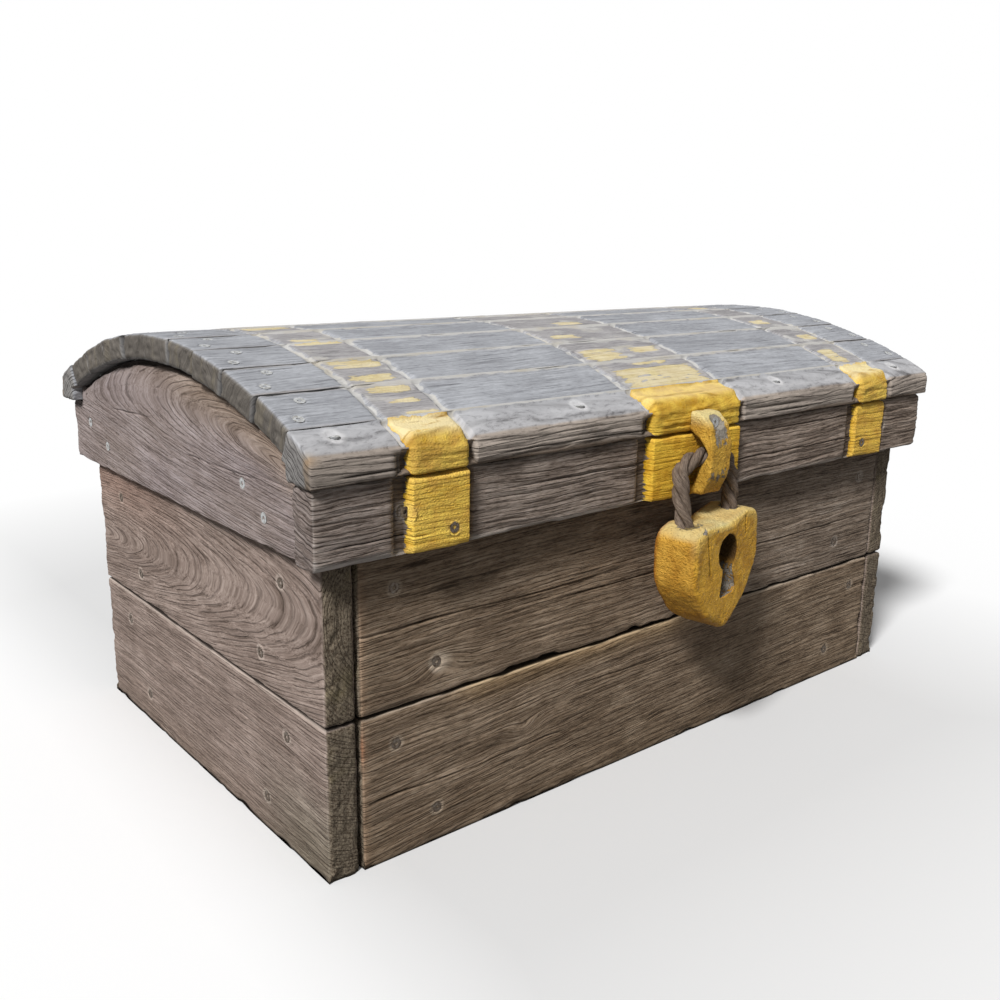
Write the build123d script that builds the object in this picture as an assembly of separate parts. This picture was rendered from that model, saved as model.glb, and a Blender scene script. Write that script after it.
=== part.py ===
from build123d import *
import math
import os

os.makedirs("parts", exist_ok=True)

# Timber treasure chest with a barrel lid and a hanging heart-shaped padlock.
# Millimetres, +Z up, the front faces -Y, and the origin is the middle of the box's base.

# Box
box_length = 1200.0
box_depth = 730.0
plank_height = 205.0
plank_thickness = 45.0
plank_edge_round = 5.0
plank_end_gap = 2.0
courses = 2
post_width = 145.0

# Floor
ledger_width = 45.0
ledger_height = 70.0
board_thickness = 22.0
board_gap = 2.0
long_board_count = 4

# Lid
rail_height = 97.0
rail_thickness = 45.0
front_overhang = 30.0
rear_overhang = 38.0
side_overhang = 27.0
lid_seat_gap = 0.3
panel_thickness = 45.0
panel_inset = 10.0
panel_groove_height = 7.0
panel_groove_depth = 8.0
block_width = 160.0
block_height = 92.0

# Roof of staves
stave_thickness = 37.0
main_stave_count = 9
roof_rise = 97.0
eave_overhang = 8.0
eave_width = 40.0
eave_round = 11.0
stave_seam = 0.8
stave_edge_bevel = 2.5
stave_side_overhang = 7.0
stave_end_jog = 6.0
stave_seat_gap = 0.3
left_jog_share = (0.2, 0.9, 0.35, 0.0, 0.6, 0.3, 0.8, 0.1, 0.5, 0.7, 0.2)
right_jog_share = (0.3, 0.1, 0.8, 0.5, 0.0, 0.7, 0.2, 0.9, 0.4, 0.6, 0.1)

# Straps, carved in relief: a wide one in the middle and a narrow one near each end
side_strap_width = 85.0
side_strap_from_end = 143.0
middle_strap_width = 190.0
strap_relief = 10.0
right_strap_relief = 4.0
foot_round_share = 0.6
strap_groove_width = 10.0
strap_groove_depth = 6.0
eave_groove_depth = 8.0

# Staple, the wooden plate that the padlock hangs on
staple_thickness = 45.0
staple_height = 122.0
staple_reach = 43.0
staple_foot_rise = 5.0
staple_round = 4.0
staple_wall = 10.0
staple_hole_height = 74.0
staple_hole_foot = 17.0

# Padlock and its rope
lock_width = 202.0
lock_height = 176.0
lock_thickness = 72.0
lock_round = 8.0
lock_dip = 8.0
lock_dip_round = 30.0
heart_shares = ((0.60, 0.0), (0.95, 0.05), (1.0, 0.48), (0.60, 0.80))
heart_rounds = (22.0, 22.0, 55.0, 55.0)
lock_tip_round = 20.0
lock_turn = 11.0
lock_roll = 3.0
lock_forward = 11.0
rope_diameter = 26.0
rope_seat_gap = 0.5
rope_leg_spread = 60.0
rope_shoulder_drop = 32.0
rope_shoulder_in = 21.0
rope_leg_length = 82.5
rope_socket_depth = 42.0
rope_socket_forward = 3.0
rope_socket_gap = 0.4
key_bow_radius = 26.0
key_bow_drop = 54.0
key_waist = 14.0
key_waist_drop = 84.0
key_foot = 24.0
key_foot_drop = 118.0
key_foot_round = 7.0

# Hinges
hinge_length = 100.0
hinge_from_end = 250.0
knuckle_count = 5
knuckle_radius = 7.0
knuckle_gap = 0.4
pin_radius = 3.5
pin_gap = 0.05
pin_head_radius = 5.5
pin_head_height = 2.0
leaf_thickness = 3.0
wall_leaf_height = 60.0
lid_leaf_width = 25.0
hinge_gap = 1.0
hinge_screws_per_leaf = 3

# Screws: (head radius, head height, shank radius, length)
wood_screw = (7.0, 4.5, 3.0, 90.0)
floor_screw = (5.0, 3.0, 2.5, 55.0)
small_screw = (4.0, 2.4, 2.0, 30.0)
plate_screw = (7.0, 4.5, 3.0, 74.0)
screw_gap = 0.2
screw_sink = 0.8
screw_socket_share = 0.42
screw_socket_depth_share = 0.67
screw_tip_share = 2.0
over = 40.0

# Where screws go, as shares of the post or block that they enter
near_share = 0.38
far_share = 0.81
upper_share = 0.77
lower_share = 0.23
block_near_share = 0.43
block_far_share = 0.83
front_panel_screw_shares = ((0.54, 0.40), (0.87, 0.75))
rear_panel_screw_shares = ((0.18, 0.72), (0.63, 0.42))
rail_upper_share = 0.55
rail_lower_share = 0.28
eave_screw_shares = (-0.97, -0.35, 0.36, 0.93)
stave_near_share = 0.29
stave_far_share = 0.78
stave_screw_side_share = 0.24
wall_leaf_screw_share = 0.6
lid_leaf_screw_share = 0.62

# Worked out from the sizes above
box_height = courses * plank_height
inner_length = box_length - 2 * plank_thickness
inner_depth = box_depth - 2 * plank_thickness
lid_underside = box_height + lid_seat_gap
rail_top = lid_underside + rail_height
rail_half = box_length / 2 + side_overhang
lid_front = -box_depth / 2 - front_overhang
lid_rear = box_depth / 2 + rear_overhang
lid_middle = (lid_front + lid_rear) / 2
lid_half = (lid_rear - lid_front) / 2
rail_inner_front = lid_front + rail_thickness
rail_inner_rear = lid_rear - rail_thickness
panel_outer = rail_half - panel_inset
panel_inner = panel_outer - panel_thickness

eave_half = lid_half + eave_overhang
roof_radius = (eave_half ** 2 + roof_rise ** 2) / (2 * roof_rise)
roof_inner_radius = roof_radius - stave_thickness
eave_front_top = rail_top + stave_thickness
roof_centre_z = eave_front_top + roof_rise - roof_radius
seam_angle = math.degrees(math.asin((lid_half - eave_width) / roof_radius))
stave_angle = 2 * seam_angle / main_stave_count

side_strap_centre = box_length / 2 - side_strap_from_end
strap_spans = (
    (-side_strap_centre - side_strap_width / 2, -side_strap_centre + side_strap_width / 2),
    (-middle_strap_width / 2, middle_strap_width / 2),
    (side_strap_centre - side_strap_width / 2, side_strap_centre + side_strap_width / 2),
)
strap_front = lid_front - strap_relief

hinge_spread = box_length - 2 * hinge_from_end
hinge_axis_y = box_depth / 2 + hinge_gap + knuckle_radius
hinge_axis_z = lid_underside - hinge_gap - knuckle_radius


def block(x0, x1, y0, y1, z0, z1):
    """A box between two corners."""
    middle = Pos((x0 + x1) / 2, (y0 + y1) / 2, (z0 + z1) / 2)
    return middle * Box(x1 - x0, y1 - y0, z1 - z0)


def plank(x0, x1, y0, y1, z0, z1, rounding=plank_edge_round):
    """A sawn plank with its edges worn round."""
    solid = block(x0, x1, y0, y1, z0, z1)
    return fillet(solid.edges(), min(rounding, (y1 - y0) / 3, (x1 - x0) / 3, (z1 - z0) / 3))


def side_section(points):
    """A face in the YZ plane from (y, z) points."""
    outline = Polyline([(0, y, z) for y, z in points], close=True)
    return make_face(outline)


def along_x(face, x0, x1):
    """Carry a YZ face from x0 to x1."""
    return Pos(x0, 0, 0) * extrude(face, amount=x1 - x0, dir=(1, 0, 0))


def save(name, solids):
    """Write one sub-part; a list becomes a group of separate solids."""
    shape = Compound(children=list(solids)) if isinstance(solids, (list, tuple)) else solids
    shape.label = name
    export_step(shape, f"parts/{name}.step")


# Screws

def screw(kind):
    """A countersunk wood screw, head uppermost at the origin, with a six-sided socket."""
    head_radius, head_height, shank_radius, length = kind
    tip = screw_tip_share * shank_radius
    outline = Polyline([
        (0, 0, 0),
        (head_radius, 0, 0),
        (shank_radius, 0, -head_height),
        (shank_radius, 0, tip - length),
        (0, 0, -length),
    ], close=True)
    body = revolve(make_face(outline), Axis.Z)
    hexagon = RegularPolygon(screw_socket_share * head_radius, side_count=6)
    socket = extrude(hexagon, amount=-screw_socket_depth_share * head_height)
    return body - socket


def screw_hole(kind):
    """The countersunk hole that the screw sits in, open above its head."""
    head_radius, head_height, shank_radius, length = kind
    outline = Polyline([
        (0, 0, over),
        (head_radius + screw_gap, 0, over),
        (head_radius + screw_gap, 0, 0),
        (shank_radius + screw_gap, 0, -head_height),
        (shank_radius + screw_gap, 0, -length - screw_gap),
        (0, 0, -length - screw_gap),
    ], close=True)
    return revolve(make_face(outline), Axis.Z)


def drive(x, y, z, direction, sink=screw_sink):
    """The place of a screw whose head lies just under the surface point."""
    into = Vector(*direction).normalized()
    point = Vector(x, y, z) + into * sink
    return Plane(origin=point, z_dir=-into).location


def driven(kind, places):
    """The separate screws at the places."""
    one = screw(kind)
    return [place * one for place in places]


def bored(solid, kind, places):
    """The solid with a hole for each screw."""
    hole = screw_hole(kind)
    return solid - [place * hole for place in places]


# Hinge screws, whose holes go into the rear wall and the rear rail

def leaf_places(hand, y, z, direction):
    """A row of screws along one hinge leaf."""
    pitch = hinge_length / hinge_screws_per_leaf
    first = hand * hinge_spread / 2 - hinge_length / 2 + pitch / 2
    return [drive(first + index * pitch, y, z, direction, 0) for index in range(hinge_screws_per_leaf)]


wall_leaf_places = {
    hand: leaf_places(hand, box_depth / 2 + leaf_thickness,
                      hinge_axis_z - wall_leaf_screw_share * wall_leaf_height, (0, -1, 0))
    for hand in (-1, 1)
}
lid_leaf_places = {
    hand: leaf_places(hand, hinge_axis_y + lid_leaf_screw_share * lid_leaf_width,
                      lid_underside - leaf_thickness, (0, 0, 1))
    for hand in (-1, 1)
}


# Walls, two courses of planks a side, and the posts that they are screwed to

def wall_drives(side, course):
    """The four screws of one wall plank: a staggered pair into each corner post."""
    z_upper = (course + upper_share) * plank_height
    z_lower = (course + lower_share) * plank_height
    wide = side in ("front", "rear")
    corner = (box_length if wide else box_depth) / 2 - plank_thickness
    places = []
    for hand in (-1, 1):
        near = hand * (corner - near_share * post_width)
        far = hand * (corner - far_share * post_width)
        for along, z in ((near, z_upper), (far, z_lower)):
            if side == "front":
                places.append(drive(along, -box_depth / 2, z, (0, 1, 0)))
            elif side == "rear":
                places.append(drive(along, box_depth / 2, z, (0, -1, 0)))
            elif side == "left":
                places.append(drive(-box_length / 2, along, z, (1, 0, 0)))
            else:
                places.append(drive(box_length / 2, along, z, (-1, 0, 0)))
    return places


def wall_plank(side, course):
    z0 = course * plank_height
    z1 = z0 + plank_height
    end = inner_length / 2 - plank_end_gap
    if side == "front":
        return plank(-end, end, -box_depth / 2, -inner_depth / 2, z0, z1)
    if side == "rear":
        return plank(-end, end, inner_depth / 2, box_depth / 2, z0, z1)
    if side == "left":
        return plank(-box_length / 2, -inner_length / 2, -box_depth / 2, box_depth / 2, z0, z1)
    return plank(inner_length / 2, box_length / 2, -box_depth / 2, box_depth / 2, z0, z1)


sides = ("front", "rear", "left", "right")
course_names = ("lower", "upper")
wall_places = {(side, course): wall_drives(side, course) for side in sides for course in range(courses)}
for (side, course), places in wall_places.items():
    wall = bored(wall_plank(side, course), wood_screw, places)
    if side == "rear":
        wall = bored(wall, small_screw, wall_leaf_places[-1] + wall_leaf_places[1])
    save(f"{side}_plank_{course_names[course]}", wall)
every_wall_place = [place for places in wall_places.values() for place in places]
save("wall_screws", driven(wood_screw, every_wall_place))


def corner_post(hand_x, hand_y):
    """A square post in one inner corner, flush with the top of the walls."""
    x = sorted((hand_x * inner_length / 2, hand_x * (inner_length / 2 - post_width)))
    y = sorted((hand_y * inner_depth / 2, hand_y * (inner_depth / 2 - post_width)))
    post = block(x[0], x[1], y[0], y[1], 0, box_height)
    near = [p for p in every_wall_place if p.position.X * hand_x > 0 and p.position.Y * hand_y > 0]
    return bored(post, wood_screw, near)


for name_x, hand_x in (("left", -1), ("right", 1)):
    for name_y, hand_y in (("front", -1), ("rear", 1)):
        save(f"{name_y}_{name_x}_post", corner_post(hand_x, hand_y))


# Floor: ledgers round the walls, a middle bearer and boards

bay_half = inner_length / 2 - post_width
end_bay_half = inner_depth / 2 - post_width
bearer_half = inner_length / 2 - ledger_width
board_pitch = 2 * bay_half / long_board_count
board_top = ledger_height + board_thickness

long_board_places = []
for index in range(long_board_count):
    x_middle = -bay_half + (index + 0.5) * board_pitch
    for x in (x_middle - board_pitch / 4, x_middle + board_pitch / 4):
        for y in (-inner_depth / 2 + ledger_width / 2, inner_depth / 2 - ledger_width / 2):
            long_board_places.append(drive(x, y, board_top, (0, 0, -1), 0))
end_board_places = []
for hand in (-1, 1):
    for y in (-end_bay_half / 2, end_bay_half / 2):
        x = hand * (inner_length / 2 - ledger_width / 2)
        end_board_places.append(drive(x, y, board_top, (0, 0, -1), 0))
floor_places = long_board_places + end_board_places
save("floor_screws", driven(floor_screw, floor_places))

for name, hand in (("front", -1), ("rear", 1)):
    y = sorted((hand * inner_depth / 2, hand * (inner_depth / 2 - ledger_width)))
    ledger = block(-bay_half, bay_half, y[0], y[1], 0, ledger_height)
    save(f"{name}_floor_ledger", bored(ledger, floor_screw, long_board_places))
for name, hand in (("left", -1), ("right", 1)):
    x = sorted((hand * inner_length / 2, hand * bearer_half))
    ledger = block(x[0], x[1], -end_bay_half, end_bay_half, 0, ledger_height)
    save(f"{name}_floor_ledger", bored(ledger, floor_screw, end_board_places))
save("middle_floor_bearer",
     block(-bearer_half, bearer_half, -ledger_width / 2, ledger_width / 2, 0, ledger_height))

for index in range(long_board_count):
    x0 = -bay_half + index * board_pitch + board_gap / 2
    board = block(x0, x0 + board_pitch - board_gap, board_gap / 2 - inner_depth / 2,
                  inner_depth / 2 - board_gap / 2, ledger_height, board_top)
    save(f"floor_board_{index + 1}", bored(board, floor_screw, long_board_places))
for name, hand in (("left", -1), ("right", 1)):
    x = sorted((hand * (inner_length / 2 - board_gap / 2), hand * (bay_half + board_gap / 2)))
    board = block(x[0], x[1], board_gap / 2 - end_bay_half, end_bay_half - board_gap / 2,
                  ledger_height, board_top)
    save(f"{name}_end_floor_board", bored(board, floor_screw, end_board_places))


# Lid rails and end panels

front_rail_places = []
rear_rail_places = []
panel_places = {-1: [], 1: []}
for hand in (-1, 1):
    near_x = hand * (panel_inner - block_near_share * block_width)
    far_x = hand * (panel_inner - block_far_share * block_width)
    relief = strap_relief if hand < 0 else right_strap_relief
    upper_z = lid_underside + rail_upper_share * rail_height
    lower_z = lid_underside + rail_lower_share * rail_height
    front_rail_places.append(drive(near_x, lid_front, upper_z, (0, 1, 0)))
    front_rail_places.append(drive(far_x, lid_front - relief, lower_z, (0, 1, 0)))
    rear_rail_places.append(drive(near_x, lid_rear, upper_z, (0, -1, 0)))
    rear_rail_places.append(drive(far_x, lid_rear + relief, lower_z, (0, -1, 0)))
    for inner, into, shares in ((rail_inner_front, 1, front_panel_screw_shares),
                                (rail_inner_rear, -1, rear_panel_screw_shares)):
        for share, level in shares:
            y = inner + into * share * block_width
            z = lid_underside + level * block_height
            panel_places[hand].append(drive(hand * panel_outer, y, z, (-hand, 0, 0)))


def lid_rail(face, inner, outward, half_length, places):
    """A rail with the feet of the three straps standing proud of its outer face."""
    y = sorted((face, inner))
    rail = plank(-half_length, half_length, y[0], y[1], lid_underside, rail_top)
    reliefs = (strap_relief, strap_relief, right_strap_relief)
    for (x0, x1), relief in zip(strap_spans, reliefs):
        y = sorted((face + outward * relief, (face + inner) / 2))
        foot = block(x0, x1, y[0], y[1], lid_underside, rail_top)
        rim = foot.faces().sort_by(Axis.Y)[0 if outward < 0 else -1].edges()
        rail += fillet(rim, foot_round_share * min(plank_edge_round, relief))
    return bored(rail, wood_screw, places)


eave_screw_y = {-1: (lid_front + rail_inner_front) / 2, 1: (lid_rear + rail_inner_rear) / 2}


def roof_height(y, radius=roof_radius):
    """Height of the roof's arc of the given radius over the row Y."""
    return roof_centre_z + math.sqrt(radius ** 2 - (y - lid_middle) ** 2)


eave_places = {
    hand: [
        drive(share * box_length / 2, eave_screw_y[hand], roof_height(eave_screw_y[hand]), (0, 0, -1))
        for share in eave_screw_shares
    ]
    for hand in (-1, 1)
}
# The front rail covers the panels' front ends, and the rear rail stands between the panels
front_rail = lid_rail(lid_front, rail_inner_front, -1, rail_half, front_rail_places)
save("front_rail", bored(front_rail, wood_screw, eave_places[-1]))
rear_rail = lid_rail(lid_rear, rail_inner_rear, 1, panel_inner, rear_rail_places)
rear_rail = bored(rear_rail, wood_screw, eave_places[1])
save("rear_rail", bored(rear_rail, small_screw, lid_leaf_places[-1] + lid_leaf_places[1]))


def roof_point(angle, radius):
    """The (y, z) point of the roof's arc at an angle from the crown, positive to the rear."""
    turn = math.radians(angle)
    return (lid_middle + radius * math.sin(turn), roof_centre_z + radius * math.cos(turn))


def arc_face(radius_in, radius_out, angle_in, angle_out):
    """A sector of a ring round the roof's centre line, in the YZ plane."""
    a, b = roof_point(angle_in, radius_out), roof_point(angle_out, radius_out)
    c, d = roof_point(angle_out, radius_in), roof_point(angle_in, radius_in)
    middle = (angle_in + angle_out) / 2
    top, under = roof_point(middle, radius_out), roof_point(middle, radius_in)
    outline = [
        ThreePointArc((0, *a), (0, *top), (0, *b)),
        Line((0, *b), (0, *c)),
        ThreePointArc((0, *c), (0, *under), (0, *d)),
        Line((0, *d), (0, *a)),
    ]
    return make_face(outline)


def panel_section(radius, y0, y1, z0):
    """A face under an arc of the roof between two rows, standing on the level z0."""
    crown = roof_centre_z + radius
    left, right = (0, y0, roof_height(y0, radius)), (0, y1, roof_height(y1, radius))
    outline = [
        ThreePointArc(left, (0, lid_middle, crown), right),
        Line(right, (0, y1, z0)),
        Line((0, y1, z0), (0, y0, z0)),
        Line((0, y0, z0), left),
    ]
    return make_face(outline)


# Stave screws: a staggered pair in each end of each main stave, square to the roof

def stave_bounds(index):
    """Seam angles of main stave number index, counted from the front."""
    start = -seam_angle + index * stave_angle
    return start, start + stave_angle


stave_places = []
for index in range(main_stave_count):
    start, end = stave_bounds(index)
    pair = []
    for hand in (-1, 1):
        for share, aside in ((stave_near_share, -stave_screw_side_share),
                             (stave_far_share, stave_screw_side_share)):
            angle = (start + end) / 2 + aside * stave_angle
            y, z = roof_point(angle, roof_radius)
            turn = math.radians(angle)
            inward = (0, -math.sin(turn), -math.cos(turn))
            pair.append(drive(hand * (panel_outer - share * panel_thickness), y, z, inward))
    stave_places.append(pair)


def end_panel(hand):
    """An arched end panel, with a shadow groove under the staves on its outer face. Its rear end
    carries the rear eave stave, as the rail beside it does."""
    x = sorted((hand * panel_outer, hand * panel_inner))
    radius = roof_inner_radius - stave_seat_gap
    body = along_x(panel_section(radius, rail_inner_front, rail_inner_rear, lid_underside), x[0], x[1])
    x_groove = sorted((hand * (panel_outer + over), hand * (panel_outer - panel_groove_depth)))
    keep = panel_section(radius - panel_groove_height, rail_inner_front - over,
                         rail_inner_rear + over, lid_underside - over)
    whole = panel_section(radius + over, rail_inner_front - over, rail_inner_rear + over,
                          lid_underside - over)
    body -= along_x(whole, x_groove[0], x_groove[1]) - along_x(keep, x_groove[0], x_groove[1])
    body += block(x[0], x[1], rail_inner_rear, lid_rear, lid_underside, rail_top)
    roof_pairs = [place for pair in stave_places for place in pair if place.position.X * hand > 0]
    eave_pair = [place for place in eave_places[1] if place.position.X * hand > panel_inner]
    return bored(body, wood_screw, panel_places[hand] + roof_pairs + eave_pair)


save("left_end_panel", end_panel(-1))
save("right_end_panel", end_panel(1))
save("panel_screws", driven(wood_screw, panel_places[-1] + panel_places[1]))
save("rail_screws", driven(wood_screw, front_rail_places + rear_rail_places))

# Corner blocks of the lid
for name_x, hand_x in (("left", -1), ("right", 1)):
    for name_y, inner, into in (("front", rail_inner_front, 1), ("rear", rail_inner_rear, -1)):
        x = sorted((hand_x * panel_inner, hand_x * (panel_inner - block_width)))
        y = sorted((inner, inner + into * block_width))
        corner = block(x[0], x[1], y[0], y[1], lid_underside, lid_underside + block_height)
        near = front_rail_places if into > 0 else rear_rail_places
        places = [p for p in panel_places[hand_x] + near if p.position.X * hand_x > 0]
        save(f"lid_{name_y}_{name_x}_block", bored(corner, wood_screw, places))


# Roof staves

stave_half = rail_half + stave_side_overhang


def strap_edges():
    """The X spans of the grooves on both sides of each strap."""
    spans = []
    for x0, x1 in strap_spans:
        spans.append((x0 - strap_groove_width, x0))
        spans.append((x1, x1 + strap_groove_width))
    return spans


def stave_ends(number):
    """Where a stave starts and ends; the ends are a little uneven, as on the real lid."""
    left = -stave_half + left_jog_share[number % len(left_jog_share)] * stave_end_jog
    right = stave_half - right_jog_share[number % len(right_jog_share)] * stave_end_jog
    return left, right


def main_stave(index):
    start, end = stave_bounds(index)
    half_seam = math.degrees(stave_seam / 2 / roof_radius)
    left, right = stave_ends(index + 1)
    section = arc_face(roof_inner_radius, roof_radius, start + half_seam, end - half_seam)
    stave = along_x(section, left, right)
    middle = (start + end) / 2
    corners = [roof_point(start + half_seam, roof_radius), roof_point(end - half_seam, roof_radius)]
    edges = [
        edge for edge in stave.edges().filter_by(Axis.X)
        if any(math.hypot(edge.center().Y - y, edge.center().Z - z) < stave_edge_bevel for y, z in corners)
    ]
    stave = chamfer(edges, stave_edge_bevel)
    groove = arc_face(roof_radius - strap_groove_depth, roof_radius + over,
                      middle - stave_angle, middle + stave_angle)
    stave -= [along_x(groove, x0, x1) for x0, x1 in strap_edges()]
    return bored(stave, wood_screw, stave_places[index])


def eave_stave(hand, number):
    """The stave over a rail: a flat front above the rail and the roof's arc on top."""
    left, right = stave_ends(number)
    edge_angle = hand * (seam_angle - math.degrees(stave_seam / 2 / roof_radius))
    seam_y, seam_z = roof_point(edge_angle, roof_radius)
    low_y, low_z = roof_point(edge_angle, roof_inner_radius)
    front = lid_middle + hand * eave_half
    inner = rail_inner_front if hand < 0 else rail_inner_rear
    half_way = (front + seam_y) / 2
    half_under = (low_y + inner) / 2
    outline = [
        ThreePointArc((0, front, eave_front_top), (0, half_way, roof_height(half_way)), (0, seam_y, seam_z)),
        Line((0, seam_y, seam_z), (0, low_y, low_z)),
        ThreePointArc((0, low_y, low_z), (0, half_under, roof_height(half_under, roof_inner_radius)),
                      (0, inner, roof_height(inner, roof_inner_radius))),
        Line((0, inner, roof_height(inner, roof_inner_radius)), (0, inner, rail_top)),
        Line((0, inner, rail_top), (0, front, rail_top)),
        Line((0, front, rail_top), (0, front, eave_front_top)),
    ]
    stave = along_x(make_face(outline), left, right)
    long_edges = stave.edges().filter_by(Axis.X)
    nose = [e for e in long_edges
            if math.hypot(e.center().Y - front, e.center().Z - eave_front_top) < eave_round / 2]
    stave = fillet(nose, eave_round)
    crest = [e for e in stave.edges().filter_by(Axis.X)
             if math.hypot(e.center().Y - seam_y, e.center().Z - seam_z) < stave_edge_bevel]
    stave = chamfer(crest, stave_edge_bevel)
    y = sorted((front - hand * eave_groove_depth, front + hand * over))
    groove = arc_face(roof_radius - strap_groove_depth, roof_radius + over,
                      hand * (seam_angle - stave_angle), hand * (seam_angle + stave_angle))
    for x0, x1 in strap_edges():
        stave -= along_x(groove, x0, x1)
        stave -= block(x0, x1, y[0], y[1], rail_top - over, eave_front_top + over)
    return bored(stave, wood_screw, eave_places[hand])


for index in range(main_stave_count):
    save(f"stave_{index + 1}", main_stave(index))


# Staple: a D-shaped plate with a hole that narrows to a seat for the rope

staple_foot = lid_underside + staple_foot_rise
staple_profile_shares = (
    (0.00, 1.00), (0.38, 0.99), (0.82, 0.86), (1.00, 0.64), (0.97, 0.27), (0.62, 0.03), (0.00, 0.00),
)
staple_hole_profile_shares = (
    (0.00, 1.00), (0.62, 0.86), (1.00, 0.60), (0.48, 0.28), (0.22, 0.00), (0.00, 0.00),
)
staple_screw_reach_share = 0.62
staple_screw_rise_share = 0.88
staple_screw_slope_share = 0.14
hole_reach = staple_reach - staple_wall
hole_foot = staple_foot + staple_hole_foot
rope_radius = rope_diameter / 2
staple_outline = [
    (strap_front - reach * staple_reach, staple_foot + rise * staple_height)
    for reach, rise in staple_profile_shares
]
hole_outline = [
    (strap_front - reach * hole_reach, hole_foot + rise * staple_hole_height)
    for reach, rise in staple_hole_profile_shares
]


def rope_seat():
    """Where the rope's centre rests: against the strap and on the hole's sloping front wall."""
    (y0, z0), (y1, z1) = hole_outline[2], hole_outline[3]
    run = math.hypot(y1 - y0, z1 - z0)
    y = strap_front - rope_radius - rope_seat_gap
    reach = (rope_radius + rope_seat_gap) * run / abs(y1 - y0)
    z = z0 + (z1 - z0) * (y - y0) / (y1 - y0) + reach
    return y, z


axis_y, axis_z = rope_seat()
staple_place = drive(0, strap_front - staple_screw_reach_share * staple_reach,
                     staple_foot + staple_screw_rise_share * staple_height,
                     (0, 1, -staple_screw_slope_share), 0)


def staple():
    half = staple_thickness / 2
    plate = along_x(side_section(staple_outline), -half, half)
    front_edges = [e for e in plate.edges() if e.center().Y < strap_front - staple_round / 4
                   and abs(e.center().X) > half - staple_round / 4]
    plate = fillet(front_edges, staple_round)
    corners = [e for e in plate.edges().filter_by(Axis.X) if e.center().Y < strap_front - staple_round]
    plate = fillet(corners, staple_round)
    hole = along_x(side_section(hole_outline), -half - over, half + over)
    edges = [e for e in hole.edges().filter_by(Axis.X) if e.center().Y < strap_front - staple_round / 4]
    plate -= fillet(edges, staple_round)
    return bored(plate, plate_screw, [staple_place])


save("staple", staple())
save("staple_screw", driven(plate_screw, [staple_place]))
front_eave = bored(eave_stave(-1, 0), plate_screw, [staple_place])
save("front_eave_stave", front_eave)
save("rear_eave_stave", eave_stave(1, main_stave_count + 1))
every_stave_place = [place for pair in stave_places for place in pair] + eave_places[-1] + eave_places[1]
save("stave_screws", driven(wood_screw, every_stave_place))


# Rope shackle and padlock, which hang from the staple

lock_top = axis_z - rope_leg_length
lock_frame = (
    Pos(0, axis_y - lock_forward, lock_top) * Rot(0, 0, lock_turn) * Rot(0, -lock_roll, 0)
)


def in_lock(u, depth, z):
    """A point of the padlock's own frame: u along its width, depth to the rear, z up."""
    return (lock_frame * Pos(u, depth, z)).position


leg_top_left = Vector(-rope_leg_spread, axis_y, axis_z - rope_shoulder_drop)
leg_top_right = Vector(rope_leg_spread, axis_y, axis_z - rope_shoulder_drop)
leg_foot_left = in_lock(-rope_leg_spread, -rope_socket_forward, -rope_socket_depth)
leg_foot_right = in_lock(rope_leg_spread, -rope_socket_forward, -rope_socket_depth)
shoulder_half = rope_leg_spread - rope_shoulder_in
rope_points = [
    leg_foot_left,
    leg_top_left,
    Vector(-shoulder_half, axis_y, axis_z),
    Vector(shoulder_half, axis_y, axis_z),
    leg_top_right,
    leg_foot_right,
]
rope_corner_share = 0.45


def corner_radii(points):
    """Each corner's radius: a share of its shorter run, divided by the tangent of half its turn."""
    radii = []
    for before, here, after in zip(points, points[1:], points[2:]):
        a, b = here - before, after - here
        half_turn = math.radians(a.get_angle(b)) / 2
        radii.append(rope_corner_share * min(a.length, b.length) / math.tan(half_turn))
    return radii


rope_radii = corner_radii(rope_points)
rope_path = FilletPolyline(*rope_points, radius=rope_radii)
rope_start = Plane(origin=rope_points[0], z_dir=rope_points[1] - rope_points[0])
rope_tube = sweep(rope_start * Circle(rope_radius), path=rope_path)
print("rope radii", [round(r, 1) for r in rope_radii])
print("rope length", round(rope_path.length, 1), "volume over section times length",
      round(rope_tube.volume / (math.pi * rope_radius ** 2 * rope_path.length), 4))
print("rope axis", round(axis_y, 2), round(axis_z, 2))


def rope_socket(foot, top):
    """The drilled hole in the padlock that holds one end of the rope."""
    way = top - foot
    start = Plane(origin=foot, z_dir=way)
    return extrude(start * Circle(rope_radius + rope_socket_gap), amount=way.length)


def heart_face():
    """The heart's outline in the XZ plane: a polygon whose corners are rounded."""
    right = [(along * lock_width / 2, 0, -down * lock_height) for along, down in heart_shares]
    left = [(-x, y, z) for x, y, z in reversed(right)]
    outline = [(0, 0, -lock_dip)] + right + [(0, 0, -lock_height)] + left
    rounds = (lock_dip_round,) + heart_rounds + (lock_tip_round,) + heart_rounds[::-1]
    return make_face(FilletPolyline(*outline, radius=rounds, close=True))


def keyhole():
    """A round bow over a flared foot."""
    bow = Pos(0, 0, -key_bow_drop) * extrude(Plane.XZ * Circle(key_bow_radius), amount=over * 2, both=True)
    outline = Polyline([
        (-key_waist, 0, -key_bow_drop), (key_waist, 0, -key_bow_drop),
        (key_waist, 0, -key_waist_drop), (key_foot, 0, -key_foot_drop),
        (-key_foot, 0, -key_foot_drop), (-key_waist, 0, -key_waist_drop),
    ], close=True)
    foot = extrude(make_face(outline), amount=over * 2, dir=(0, 1, 0), both=True)
    low = [e for e in foot.edges().filter_by(Axis.Y) if e.center().Z < -key_waist_drop - key_foot_round / 2]
    return bow + fillet(low, key_foot_round)


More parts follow.
